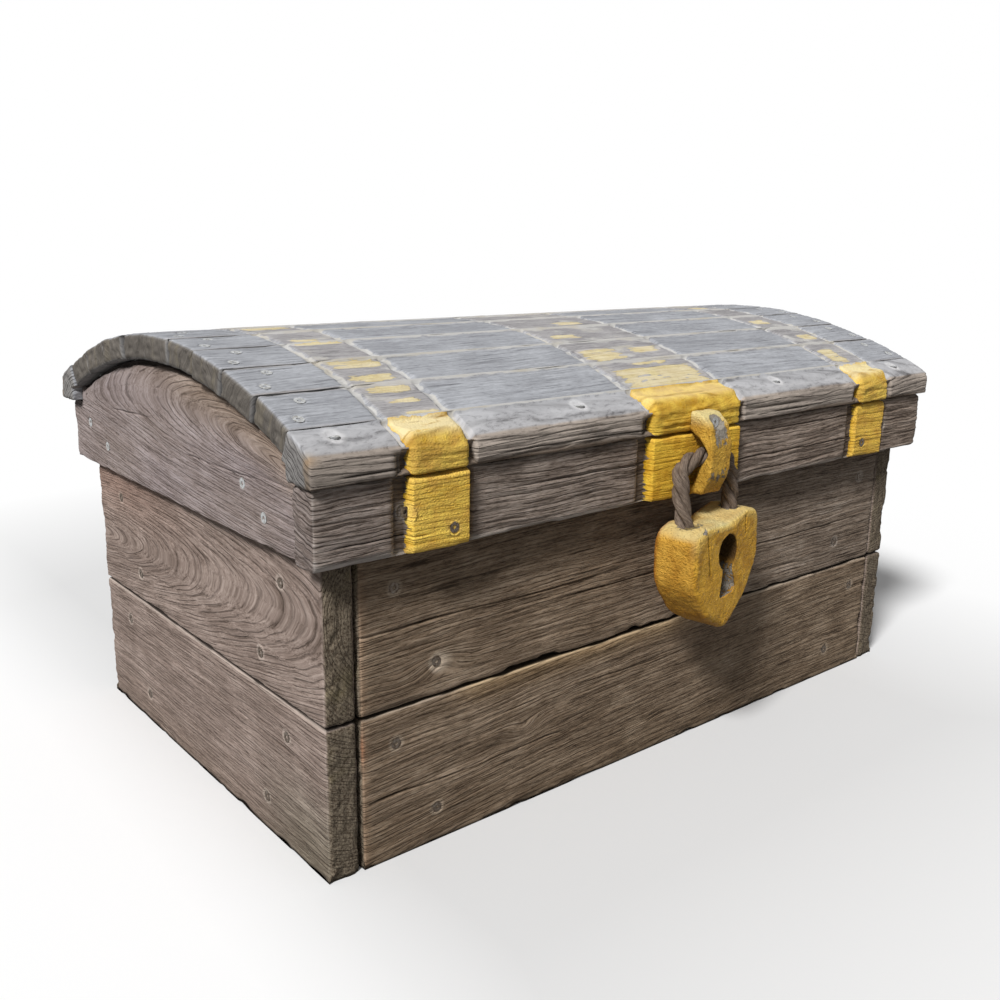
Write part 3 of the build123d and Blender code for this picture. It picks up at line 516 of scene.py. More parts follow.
def make_rope():
    """Each strand is a tube round a helix on the route; its radius swells over each yarn, which winds
    the other way. Rows run along the rope and rings run round a strand."""
    line = rope_line()
    run = np.concatenate([[0], np.cumsum(np.linalg.norm(np.diff(line, axis=0), axis=1))])
    s = np.linspace(0, run[-1], 420)
    centre = np.stack([np.interp(s, run, line[:, i]) for i in range(3)], -1)
    ahead = np.gradient(centre, s, axis=0)
    ahead /= np.linalg.norm(ahead, axis=1, keepdims=True)
    side = np.cross(ahead, [0.0, 1.0, 0.0])
    side /= np.linalg.norm(side, axis=1, keepdims=True)
    up = np.cross(side, ahead)
    round_ = np.linspace(0, 2 * np.pi, 30, endpoint=False)[None, :, None]
    strands = []
    for number in range(3):
        slack = 0.10 * noise(s / 0.05, number, 0, 14)
        turn = (2 * np.pi * (s / ROPE_LAY + number / 3 + slack))[:, None]
        out = np.cos(turn) * side + np.sin(turn) * up
        core = centre + (ROPE_RADIUS - STRAND_RADIUS) * out
        along = np.gradient(core, s, axis=0)
        along /= np.linalg.norm(along, axis=1, keepdims=True)
        cross = np.cross(along, out)
        wave = np.abs(np.sin(YARNS_PER_STRAND / 2 * round_ + (np.pi * s / YARN_LAY)[:, None, None]))
        rag = 0.0005 * noise(s[:, None, None] / 0.006, 3 * np.cos(round_), 3 * np.sin(round_), number + 3)
        radius = STRAND_RADIUS - YARN_DEPTH * (1 - wave) + rag
        points = core[:, None] + radius * (np.cos(round_) * out[:, None] + np.sin(round_) * cross[:, None])
        angle = np.broadcast_to(round_ / (2 * np.pi), (s.size, round_.shape[1], 1))
        length = np.broadcast_to(s[:, None, None], angle.shape)
        twist = np.broadcast_to(wave, angle.shape)
        fields = {"fibre": np.concatenate([angle * 0.04, length, angle * 0 + number], -1),
                  "yarn": np.concatenate([twist, twist, twist, angle * 0 + 1], -1)}
        strands.append(skin(f"rope_strand_{number + 1}", points, fields))
    with bpy.context.temp_override(active_object=strands[0], selected_editable_objects=strands):
        bpy.ops.object.join()
    strands[0].name = "rope"
    return strands[0], line


def rope_fibre():
    """Weathered hemp: dull grey-brown yarns, darker between them and paler where they stand up."""
    material, tree, place = new_material("weathered_hemp_rope")
    fibre = add(tree, "Attribute", attribute_name="fibre").node.outputs["Vector"]
    yarn = add(tree, "Attribute", attribute_name="yarn").node.outputs["Fac"]
    hair = stretched(tree, fibre, (0.0009, 0.006, 1), 3.0)
    patch = stretched(tree, place, (0.02, 0.02, 0.02), 2.0)
    tone = add(tree, "Mix", add(tree, "MapRange", yarn, 0.0, 0.5), colour("#4A3D33"), colour("#75665A"),
               data_type="RGBA")
    tone = add(tree, "Mix", add(tree, "MapRange", hair, 0.5, 0.70, 0.0, 0.8), tone, colour("#A39281"),
               data_type="RGBA")
    tone = add(tree, "Mix", add(tree, "MapRange", hair, 0.46, 0.34, 0.0, 0.7), tone, colour("#382E26"),
               data_type="RGBA")
    tone = add(tree, "Mix", add(tree, "MapRange", patch, 0.55, 0.35, 0.0, 0.5), tone, colour("#54473B"),
               data_type="RGBA")
    surface(tree, tone, 0.92, hair, 0.0008, 0.2)
    return material


rope, rope_points = make_rope()
finish(rope, rope_fibre(), "padlock", "rope", "shackle_rope")


# Timber: a ring of points round the section is carried along the piece, then worn

def rounded_ring(half_across, half_deep, radius, face, back_gap, side_gap):
    """A rectangle with quarter-circle corners as (across, deep) points: the outer face at the given
    places, one side, the back and the other side."""
    b, c, r = half_across, half_deep, radius
    arc = np.linspace(0, np.pi / 2, 5)[1:-1]
    s, k = r * np.sin(arc), r * np.cos(arc)
    side = spread(r - c, c - r, side_gap)
    back = spread(r - b, b - r, back_gap)
    full_side, full_face, full_back = (np.ones(v.size) for v in (side, face, back))
    across = np.concatenate([face, b - r + s, b * full_side, b - r + k, back[::-1], r - b - s,
                             -b * full_side, r - b - k])
    deep = np.concatenate([c * full_face, c - r + k, side[::-1], r - c - s, -c * full_back, r - c - k,
                           side, c - r + s])
    return across, deep


def rows_along(places, radius, cap_rows):
    """For each row its place along, how far its ring is drawn in by the end's rounding, and how far it
    is shrunk towards the middle of the end face."""
    low, high = places[0], places[-1]
    arc = np.linspace(0, np.pi / 2, 5)[1:]
    inside = places[(places > low + radius) & (places < high - radius)]
    shrink = np.linspace(1, 0, cap_rows + 1)[1:-1]
    reach, inset = radius * np.sin(arc), radius * (1 - np.cos(arc))
    along = np.concatenate([np.full(shrink.size, low), (low + radius - reach)[::-1], [low + radius], inside,
                            [high - radius], high - radius + reach, np.full(shrink.size, high)])
    drawn = np.concatenate([np.full(shrink.size, radius), inset[::-1], np.zeros(inside.size + 2), inset,
                            np.full(shrink.size, radius)])
    scale = np.concatenate([shrink[::-1], np.ones(inside.size + 2 + 2 * arc.size), shrink])
    return along, drawn, scale


def growth(wood, pith, seed, knots=()):
    """How far a point lies across the year rings: its distance from the pith, a line that leans and
    wanders, with a swirl round each knot."""
    along, across, deep = (wood[..., i] for i in range(3))
    offset, depth, lean, dive = pith
    rings = np.hypot(across - offset - lean * along - 0.012 * noise(along / 0.35, 0, 0, seed),
                     deep - depth - dive * along)
    rings = rings + 0.0030 * noise(along / 0.20, across / 0.05, deep / 0.05, seed + 1)
    rings = rings + 0.0007 * noise(along / 0.035, across / 0.016, deep / 0.016, seed + 2)
    for place, level, size in knots:
        far = ((along - place) / 2.2) ** 2 + (across - level) ** 2
        rings = rings + 1.3 * size * np.exp(-far / (2 * size ** 2))
    return rings


def grain_relief(rings, along, strength, seed, groove=0.0034):
    """Soft wood worn away between harder year rings, from 0 to -1 times the strength. Groove is half the
    distance from one groove to the next."""
    fine = noise(rings / groove, along / 0.055, seed, seed)
    coarse = noise(rings / (2.6 * groove), along / 0.22, seed, seed + 1)
    broad = noise(rings / 0.040, along / 0.30, seed, seed + 2)
    lines = 0.75 * step(fine, 0.45, -0.55) + 0.5 * step(coarse, 0.5, -0.6)
    return -strength * (lines + 0.35 * (1 - broad) / 2)


def dimples(first, second, spots, depth, radius=HEAD_RADIUS):
    """Sunk places round screw heads: full depth out to just past the head, none 3 mm further out.
    Also how close each point is to the rim, from 0 to 1."""
    sunk, rim = 0, 0
    for a, b in spots:
        far = np.hypot(first - a, second - b)
        sunk = sunk - depth * (1 - step(far, radius + 0.0004, radius + 0.0024))
        rim = np.maximum(rim, step(far, radius + 0.009, radius + 0.002))
    return sunk, rim


def crack_lines(along, across, cracks, seed):
    """Long drying cracks that wander. Each is (across, from, to, width, depth) and tapers to its ends.
    Gives the sideways shift of the grid, the depth and the darkness."""
    shift, sunk, dark = 0, 0, 0
    for number, (level, start, end, width, depth) in enumerate(cracks):
        wander = 0.004 * noise(along / 0.16, number, 0, seed) + 0.0012 * noise(along / 0.03, number, 1, seed)
        taper = step(along, start - 0.01, start + 0.05) * step(along, end + 0.01, end - 0.05)
        gape = taper * (0.65 + 0.5 * noise(along / 0.07, number, 2, seed))
        near = np.exp(-((across - level) / (width * np.maximum(gape, 0.3))) ** 2)
        shift = shift + wander * np.exp(-((across - level) / 0.02) ** 2)
        sunk = sunk - depth * near * np.clip(gape, 0, 1)
        dark = np.maximum(dark, near * np.clip(1.4 * gape, 0, 1))
    return shift, sunk, dark


# The marks that a mesh carries. The first is paint on the rails and staves, rough end grain on the
# walls, and bare wood on the staple and padlock.
# The third mark darkens: soiling, and painted shade in hollows, grooves, gaps and holes.
PAINT, PALE, GRIME_AND_SHADE, LICHEN = range(4)
END_GRAIN = BARE = PAINT


def plain_marks(shape):
    """Empty marks and a neutral tint."""
    return np.zeros((*shape, 4)), np.ones((*shape, 3))


def at_least(marks, kind, amount):
    """Raises one kind of mark to the amount where it is lower."""
    marks[..., kind] = np.maximum(marks[..., kind], amount)


def tinge(tint, where, *amounts):
    """Lightens the tint's red, green and blue by the amounts, or darkens it by negative ones, times
    where. One amount stands for all three."""
    tint *= 1 + where[..., None] * np.array(amounts)


def carry(marks, tint, **more):
    """The fields of a mesh: the marks from 0 to 1, the tint as an opaque colour, and any more."""
    opaque = np.concatenate([tint, np.ones((*tint.shape[:-1], 1))], -1)
    return {**more, "marks": np.clip(marks, 0, 1), "tint": opaque}


def grain_of(rings, along, first, second, seed):
    """The grain's own coordinates: across the rings, along the fibres with a slight wave, and a place
    apart from every other timber's."""
    wave = 0.02 * noise(first / 0.01, second / 0.01, 0, seed)
    return np.stack([rings, along + wave, np.full(along.shape, seed * TIMBERS_APART)], -1)


TIMBERS_APART = 3.7
CRACK_REACH = 0.005
HEAD_DIMPLE = SCREW_SINK + 0.0010
END_PITS = 0.0022


def straight_timber(name, lo, hi, along_axis, out, pith, seed, screws=(), cracks=(), knots=(),
                    strength=0.0012, edge=0.0010, ends=0.006, gap=0.0045,
                    face_gap=0.0023, radius=PLANK_ROUND, fine_along=(),
                    fine_across=(), cap_rows=14, groove=0.0034, shape=None, dress=None):
    """A sawn timber between two corners, its grain along one axis and its outer face towards out. A
    rounded rectangle is carried along the piece, drawn in round its ends, and each point then moves along
    its normal by the worn grain, the worn edges, the cracks and the dimples of the screws. The caller's
    shape and dress change the grid and the marks further."""
    lo, hi = np.array(lo), np.array(hi)
    middle, half = (lo + hi) / 2, (hi - lo) / 2
    deep_axis = int(np.argmax(np.abs(out)))
    across_axis = 3 - along_axis - deep_axis
    away = out[deep_axis]
    marks_at = [b for _, b in screws] + [c[0] for c in cracks] + list(fine_across)
    face = spread(radius - half[across_axis], half[across_axis] - radius, face_gap,
                  [m - middle[across_axis] for m in marks_at], reach=CRACK_REACH)
    ring_b, ring_c = rounded_ring(half[across_axis], half[deep_axis], radius, face, 0.010, 0.006)
    places = spread(lo[along_axis], hi[along_axis], gap, [a for a, _ in screws] + list(fine_along))
    along, drawn, scale = (v[:, None] for v in rows_along(places, ends, cap_rows))
    b = ring_b * (1 - drawn / half[across_axis]) * scale
    c = ring_c * (1 - drawn / half[deep_axis]) * scale
    along = along + 0 * b
    across = middle[across_axis] + b
    fronted = step(c, half[deep_axis] - radius, half[deep_axis] - radius * 0.3)
    shift, sunk, dark = crack_lines(along, across, cracks, seed)
    grid = np.empty((*b.shape, 3))
    grid[..., along_axis] = along
    grid[..., across_axis] = across + shift * fronted
    grid[..., deep_axis] = middle[deep_axis] + away * c
    normal = outward(grid)
    wood = np.stack([along, b, c], -1)
    rings = growth(wood, pith, seed, knots)
    end_face = step(np.abs(normal[..., along_axis]), 0.5, 0.9)
    depth = grain_relief(rings, along, strength, seed, groove) * (1 - end_face)
    depth = depth - END_PITS * end_face * step(noise(b / 0.010, c / 0.007, along / 0.05, seed + 4), 0.6, -0.5)
    far_across = half[across_axis] - np.abs(b)
    far_deep = half[deep_axis] - np.abs(c)
    far_along = np.minimum(along - lo[along_axis], hi[along_axis] - along)
    nearest = np.sort(np.stack([far_across, far_deep, far_along], -1), -1)[..., 1]
    worn = step(nearest, 0.014, 0.0)
    chips = step(noise(along / 0.030, b / 0.02, c / 0.02, seed + 5), -0.1, 0.8) * step(c, -0.002, 0.006)
    depth = depth - edge * worn * (0.25 + chips)
    pits, rim = dimples(along, across, screws, HEAD_DIMPLE)
    depth = np.where(rim * fronted > 0.98, 0, depth) if len(screws) else depth
    depth = depth + fronted * (sunk + pits)
    grid = grid + normal * depth[..., None]
    marks, tint = plain_marks(b.shape)
    marks[..., PALE] = np.clip(0.40 * worn * (1 - end_face), 0, 1) + 0.5 * rim * fronted
    at_least(marks, GRIME_AND_SHADE, dark * fronted)
    grain = grain_of(rings, along, b, c, seed)
    state = {"grid": grid, "along": along, "across": across, "b": b, "c": c, "front": fronted,
             "end": end_face, "rim": rim * np.ones(b.shape), "marks": marks, "tint": tint,
             "normal": normal, "middle": middle}
    if shape:
        shape(state)
    if dress:
        dress(state)
    return skin(name, state["grid"], carry(marks, tint, grain=grain))


# Box walls

SCREW_NEAR, SCREW_FAR, SCREW_UPPER, SCREW_LOWER = 0.38, 0.81, 0.77, 0.23
PLANK_THICKNESS = 0.045
WALLS = {
    "front": (0, (0, -1, 0)),
    "rear": (0, (0, 1, 0)),
    "left": (1, (-1, 0, 0)),
    "right": (1, (1, 0, 0)),
}
# Pith of each plank: offset across, depth below the face, and how it leans and dives along the plank
WALL_PITH = {
    "front_upper": (0.40, -0.10, 0.015, 0.02), "front_lower": (-0.34, -0.08, 0.03, 0.05),
    "rear_upper": (0.40, -0.12, 0.02, 0.03), "rear_lower": (-0.36, -0.12, -0.02, 0.04),
    "left_upper": (-0.005, -0.040, -0.06, 0.15), "left_lower": (0.36, -0.12, 0.02, 0.05),
    "right_upper": (0.30, -0.10, -0.03, 0.06), "right_lower": (-0.36, -0.10, 0.02, 0.02),
}
WALL_CRACKS = {
    "front_upper": [(0.309, -0.62, -0.12, 0.0011, 0.007), (0.290, -0.24, 0.54, 0.0009, 0.005),
                    (0.236, 0.10, 0.42, 0.0008, 0.003)],
    "front_lower": [(0.088, -0.56, -0.20, 0.0012, 0.007), (0.150, -0.35, 0.05, 0.0008, 0.003),
                    (0.060, 0.20, 0.50, 0.0008, 0.003)],
    "rear_upper": [(0.300, -0.30, 0.50, 0.0010, 0.006)],
    "rear_lower": [(0.120, -0.50, 0.10, 0.0010, 0.006)],
    "left_upper": [(0.330, -0.30, 0.02, 0.0008, 0.004), (0.262, 0.05, 0.34, 0.0008, 0.003)],
    "left_lower": [(0.140, -0.36, -0.10, 0.0008, 0.004)],
    "right_upper": [(0.290, -0.20, 0.30, 0.0010, 0.005)],
    "right_lower": [(0.095, -0.34, 0.15, 0.0010, 0.005)],
}
WALL_KNOTS = {
    "front_upper": [(-0.430, -0.058, 0.012)], "front_lower": [(-0.290, 0.010, 0.010)],
    "rear_lower": [(0.20, 0.02, 0.012)],
    "right_upper": [(0.12, 0.03, 0.012)],
}
WALL_TINTS = {"front": (1.06, 1.01, 0.96), "rear": (0.95, 0.92, 0.88), "left": (1.08, 1.06, 1.07),
              "right": (1.0, 0.97, 0.94)}


def screw_pattern(side, lo, hi):
    """The staggered pairs of screws of one wall plank, as (along, height)."""
    wide = side in ("front", "rear")
    half = BOX_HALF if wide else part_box("left_plank_lower")[1].y
    corner = half - PLANK_THICKNESS
    height = hi.z - lo.z
    near, far = corner - SCREW_NEAR * POST_WIDTH, corner - SCREW_FAR * POST_WIDTH
    upper, lower = lo.z + SCREW_UPPER * height, lo.z + SCREW_LOWER * height
    return [(-near, upper), (near, upper), (-far, lower), (far, lower)]


def wall_plank(side, course, number):
    """One plank of a wall, its section carried along X or Y and then worn as its place asks."""
    along_axis, out = WALLS[side]
    key = f"{side}_{course}"
    node = f"{side}_plank_{course}"
    lo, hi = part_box(node)

    def shape(s):
        """A sharp but ragged lower edge where the wall meets the ground, and a torn seam at the front."""
        if course == "lower":
            z = s["grid"][..., 2]
            foot = step(z, 0.014, 0.005) * step(s["c"], 0.0, 0.010)
            deep = int(np.argmax(np.abs(out)))
            s["grid"][..., deep] += out[deep] * foot * (PLANK_THICKNESS / 2 - s["c"])
            ragged = 0.0030 * step(noise(s["along"] / 0.030, number, 0, number + 2), 0.1, 0.9)
            s["grid"][..., 2] = np.where(z < 0.006, ragged * (s["c"] > 0), z)
        elif side == "front":
            torn = step(s["along"], -0.44, -0.36) * step(s["along"], 0.16, 0.04)
            torn = torn * step(noise(s["along"] / 0.016, s["c"] / 0.02, 0, number + 3), -0.2, 0.5)
            low = step(s["b"], -0.088, -0.100) * step(s["c"], 0.008, 0.016)
            s["grid"][..., 2] += 0.0050 * torn * low

    def dress(s):
        """Damp by the ground, soiling in the seams, a painted shadow along the foot and under the lid on the
        front, and the stains of this wall.
        """
        z, tint, marks = s["grid"][..., 2], s["tint"], s["marks"]
        tint *= WALL_TINTS[side]
        if course == "lower":
            damp = step(z, 0.09, 0.0) * (0.6 + 0.4 * noise(s["along"] / 0.12, z / 0.04, 0, 6))
            tinge(tint, damp, -0.16, -0.18, -0.22)
        marks[..., END_GRAIN] = s["end"]
        up = s["normal"][..., 2] * (1 - s["end"])
        marks[..., PALE] += 0.30 * step(up, 0.25, 0.7) * (course == "lower")
        seam = step(PLANK_THICKNESS / 2 - s["c"], 0.0018, 0.0050) * step(np.abs(s["b"]), 0.085, 0.095)
        seam = seam * ((course == "lower") | (s["b"] < 0))
        at_least(marks, GRIME_AND_SHADE, 0.95 * seam * step(np.abs(up), 0.2, 0.6) * (z > 0.01))
        # Painted shadow: a dark line along the foot of the lower plank, where it meets the ground.
        at_least(marks, GRIME_AND_SHADE, 0.9 * step(z, 0.0080, 0.0020) * (course == "lower"))
        if side == "left":
            warm = step(z, 0.30, 0.40) * step(s["along"], -0.10, 0.3) * (course == "upper")
            tinge(tint, warm, 0.10, -0.03, -0.08)
            mossy = step(s["along"], -0.12, -0.33) * step(z, 0.16, 0.03)
            tinge(tint, mossy, -0.20, -0.13, -0.20)
        if side == "front":
            # Painted shadow of the lid: the upper front plank is 16 % darker just under the overhang.
            lid_shadow_band = step(z, 0.322, 0.348) * (s["c"] > 0) * (course == "upper")
            tinge(tint, lid_shadow_band, -0.16)
            corner = np.exp(-((s["along"] - lo.x) / 0.010) ** 2) * (1 - s["end"])
            tinge(tint, corner, 0.16, 0.06, 0.0)
            patch = np.exp(-((s["along"] + 0.430) / 0.018) ** 2 - ((z - 0.250) / 0.016) ** 2)
            marks[..., PALE] += 0.8 * patch * (course == "upper")
            grey = step(s["along"], -0.10, 0.45) * (course == "upper")
            tinge(tint, grey, 0.12, 0.20, 0.36)
            broken = step(s["along"], -0.44, -0.36) * step(s["along"], 0.12, 0.0)
            yellow = broken * step(z, 0.165, 0.205) * (course == "lower")
            tinge(tint, yellow, 0.16, 0.08, -0.12)
            red = np.exp(-((s["along"] + 0.553) / 0.006) ** 2 - ((z - 0.165) / 0.018) ** 2)
            tinge(tint, red * (course == "lower"), 0.5, -0.05, -0.25)

    piece = straight_timber(f"{key}_plank_timber", lo, hi, along_axis, out, WALL_PITH[key], number,
                            screws=screw_pattern(side, lo, hi), cracks=WALL_CRACKS[key],
                            knots=WALL_KNOTS.get(key, ()), shape=shape, dress=dress, edge=0.0028)
    finish(piece, side_oak if along_axis else wall_oak, "box", "wall_timber", node)


for number, (side, course) in enumerate((s, c) for s in WALLS for c in ("lower", "upper")):
    wall_plank(side, course, number + 1)


# Straps on the lid: how far a place along X is inside one, with a soft wall

def strap_share(x, wall=0.0012, shrink=0.0):
    """For each strap, 1 inside its span and 0 outside, over a wall of the given width."""
    return [band(x, (x0 + shrink - wall, x0 + shrink + wall), (x1 - shrink + wall, x1 - shrink - wall))
            for x0, x1 in STRAP_SPANS]


def outer_straps(x):
    """1 on the left and right straps and 0 elsewhere."""
    shares = strap_share(x, 0.002, -0.001)
    return shares[0] + shares[2]


def groove_share(x, wall=0.002):
    """1 in the grooves on both sides of every strap and 0 elsewhere."""
    total = 0
    for x0, x1 in STRAP_SPANS:
        for start in (x0 - STRAP_GROOVE, x1):
            end = start + STRAP_GROOVE
            total = total + band(x, (start - wall, start + wall), (end + wall, end - wall))
    return np.clip(total, 0, 1)


HOLLOW_WIDTH = 0.021
HOLLOW_DEPTH = 0.0055


def hollow_share(x):
    """1 in the hollows beside the straps: a wide one on the left of each, a narrow one on its right."""
    total = 0
    for x0, x1 in STRAP_SPANS:
        start, end = x0 - HOLLOW_WIDTH, x1 + STRAP_GROOVE
        total = total + band(x, (start - 0.002, start + 0.006), (x0 + 0.001, x0 - 0.001))
        total = total + band(x, (x1 - 0.001, x1 + 0.001), (end + 0.002, end - 0.002))
    return np.clip(total, 0, 1)


strap_edges = [x for span in STRAP_SPANS for x in (span[0] - STRAP_GROOVE, span[0], span[1],
                                                   span[1] + STRAP_GROOVE)]


# Lid rails

RAIL_UPPER, RAIL_LOWER, BLOCK_NEAR, BLOCK_FAR = 0.55, 0.28, 0.43, 0.83
RAIL_CRACKS = [(0.436, -0.62, -0.45, 0.0012, 0.004), (0.470, -0.40, 0.20, 0.0010, 0.004),
               (0.487, 0.10, 0.62, 0.0009, 0.003), (0.427, -0.20, 0.38, 0.0009, 0.003),
               (0.450, 0.05, 0.55, 0.0010, 0.004)]


def lid_rail(name, face, hand, seed, pith):
    """A rail of the lid, its section carried along X, with the feet of the straps raised on its face."""
    lo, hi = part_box(name)
    back = face - hand * RAIL_THICKNESS
    low = (lo.x, min(face, back), lid_under)
    high = (hi.x, max(face, back), rail_top)
    height = rail_top - lid_under
    near = panel_inner - BLOCK_NEAR * BLOCK_WIDTH
    far = panel_inner - BLOCK_FAR * BLOCK_WIDTH
    upper, lower = lid_under + RAIL_UPPER * height, lid_under + RAIL_LOWER * height
    screws = [(-near, upper), (near, upper), (-far, lower), (far, lower)]

    def shape(s):
        """The straps' feet stand out from the face, and the face is hollowed beside each."""
        x = s["along"]
        forward = step(s["c"], RAIL_THICKNESS / 2 - 0.004, RAIL_THICKNESS / 2 - 0.001)
        relief = sum(r * share for r, share in zip(STRAP_RELIEFS, strap_share(x, 0.0016)))
        rounded = step(np.abs(s["b"]), height / 2 - 0.008, height / 2)
        lip = 0.0015 * sum(strap_share(x, 0.003, 0.002)) * rounded
        flat = s["middle"][1] + hand * s["c"]
        filled = 0.35 * sum(strap_share(x, 0.0016)) * forward * (1 - s["rim"])
        s["grid"][..., 1] += (flat - s["grid"][..., 1]) * filled
        s["grid"][..., 1] += hand * (relief - lip - HOLLOW_DEPTH * hollow_share(x)) * forward

    def dress(s):
        """Paint on the straps, painted shade in the hollows beside them, soiling along the top, and a paler
        lower edge.
        """
        x, marks, tint = s["along"], s["marks"], s["tint"]
        inside = sum(strap_share(x, 0.0020, -0.001)) * s["front"]
        marks[..., PAINT] = inside
        marks[..., PALE] *= 1 - 0.9 * inside
        marks[..., PALE] += 0.06 * inside + 0.10 * outer_straps(x) * s["front"]
        tinge(tint, inside * (hand < 0), 0.05, 0.02, -0.14)
        marks[..., GRIME_AND_SHADE] *= 1 - 0.5 * inside
        # Painted shade: darker hollows beside the straps, where a strap's side shades them.
        at_least(marks, GRIME_AND_SHADE, 0.60 * hollow_share(x) * s["front"])
        at_least(marks, GRIME_AND_SHADE, 0.8 * step(s["grid"][..., 2], rail_top - 0.004, rail_top))
        low_edge = step(s["across"], lid_under + 0.018, lid_under) * s["front"]
        marks[..., PALE] += 0.35 * low_edge * (1 - inside)
        grey = step(x, -0.35, -0.60)
        tinge(tint, grey, 0.13, 0.16, 0.22)
        brown = step(x, -0.30, 0.0) * (0.7 + 0.3 * noise(x / 0.2, 0, 0, 4))
        tinge(tint, brown, -0.02, -0.06, -0.10)
        tinge(tint, s["end"], -0.28, -0.29, -0.27)
        tint *= 1.12

    out = (0, hand, 0)
    piece = straight_timber(f"{name}_timber", low, high, 0, out, pith, seed, screws=screws,
                            cracks=RAIL_CRACKS, strength=0.0015, edge=0.0025, face_gap=0.0016,
                            groove=0.0030, fine_along=strap_edges, radius=0.007, shape=shape, dress=dress)
    finish(piece, rail_oak, "lid", "rail_timber", name)


lid_rail("front_rail", lid_front, -1, 21, (-0.40, -0.10, 0.01, 0.01))
lid_rail("rear_rail", lid_rear, 1, 22, (0.40, -0.10, -0.01, 0.02))


# End panels: the top follows the roof's arc

# Screws of the end panels, as (share of the corner block from the rail, share of its height)
PANEL_FRONT_SCREWS = ((0.54, 0.40), (0.87, 0.75))
PANEL_REAR_SCREWS = ((0.18, 0.72), (0.63, 0.42))
PANEL_CRACKS = [(0.520, -0.05, 0.26, 0.0009, 0.004), (0.487, -0.28, -0.02, 0.0008, 0.003)]


def end_panel(name, hand, seed, pith):
    """An end of the lid: its section is carried along Y and then squeezed under the roof's arc."""
    lo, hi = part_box(name)
    low = (lo.x, lo.y, lid_under)
    high = (hi.x, hi.y, hi.z)
    rail_back = lid_rear - RAIL_THICKNESS
    screws = []
    for inner, into, places in ((lo.y, 1, PANEL_FRONT_SCREWS), (rail_back, -1, PANEL_REAR_SCREWS)):
        for share, level in places:
            screws.append((inner + into * share * BLOCK_WIDTH, lid_under + level * BLOCK_HEIGHT))
    under = roof_radius - STAVE_THICKNESS - 0.0003

    def shape(s):
        """Heights above the fixed lower part are squeezed so that the top lies on the arc under the
        staves, and is flat under the rear eave. The outer face steps back below the staves, and dress
        darkens this step with soiling and painted shade."""
        y, z = s["grid"][..., 1], s["grid"][..., 2]
        roof = roof_centre + np.sqrt(under ** 2 - (y - lid_middle) ** 2)
        roof = roof + (rail_top - 0.0003 - roof) * step(y, rail_back - 0.001, rail_back + 0.001)
        fixed = lid_under + 0.085
        squeezed = fixed + (z - fixed) * (roof - fixed) / (high[2] - fixed)
        new_z = np.where(z > fixed, squeezed, z)
        s["grid"][..., 2] = new_z
        s["below"] = roof - new_z
        ragged = 0.0045 + 0.0030 * noise(y / 0.022, 0, 0, seed)
        level = PANEL_THICKNESS / 2 - PANEL_GROOVE
        outer = step(s["c"], level - 0.001, level + 0.001)
        cut = step(s["below"], ragged + 0.0045, ragged + 0.0015) * outer
        cut = cut * step(y, rail_back - 0.004, rail_back - 0.012)
        back = hand * (panel_outer - PANEL_GROOVE)
        x = s["grid"][..., 0]
        s["grid"][..., 0] = np.where(hand * x > hand * back, x + (back - x) * cut, x)
        s["cut"] = cut

    def dress(s):
        """Painted shade and soiling under the staves, a warmer tone near them, and a violet cast in patches.
        """
        marks, tint = s["marks"], s["tint"]
        # Painted shade: the step under the staves is darkened fully, and the face for about 18 mm below them
        # by half.
        at_least(marks, GRIME_AND_SHADE, s["cut"])
        at_least(marks, GRIME_AND_SHADE, 0.5 * step(s["below"], 0.018, 0.006) * (s["c"] > 0))
        marks[..., PALE] *= 0.6
        y = s["along"]
        warm = step(s["below"], 0.075, 0.008) * step(y, 0.30, -0.20)
        tinge(tint, warm, 0.08, 0.00, -0.16)
        violet = 0.5 + 0.5 * noise(y / 0.15, s["across"] / 0.06, 0, seed)
        tinge(tint, violet, -0.05, -0.04, 0.03)

    piece = straight_timber(f"{name}_timber", low, high, 1, (hand, 0, 0), pith, seed, screws=screws,
                            cracks=PANEL_CRACKS, edge=0.0015, ends=0.0025,
                            fine_across=[hi.z - 0.004, hi.z - 0.009], fine_along=[rail_back], gap=0.0042,
                            radius=0.003, groove=0.0025, shape=shape, dress=dress)
    finish(piece, panel_oak, "lid", "panel_timber", name)


end_panel("left_end_panel", -1, 31, (0.050, -0.036, 0.02, -0.13))
end_panel("right_end_panel", 1, 32, (-0.42, -0.12, -0.03, 0.05))


# Roof staves

STAVE_NEAR, STAVE_FAR, STAVE_ASIDE = 0.29, 0.78, 0.24
STAVE_PITH = ((0.30, -0.10, 0.01, 0.02), (-0.30, -0.12, 0.015, 0.01), (0.10, -0.08, 0.01, 0.03),
              (-0.25, -0.15, -0.01, 0.02))
EAVE_SCREWS = (-0.97, -0.35, 0.36, 0.93)
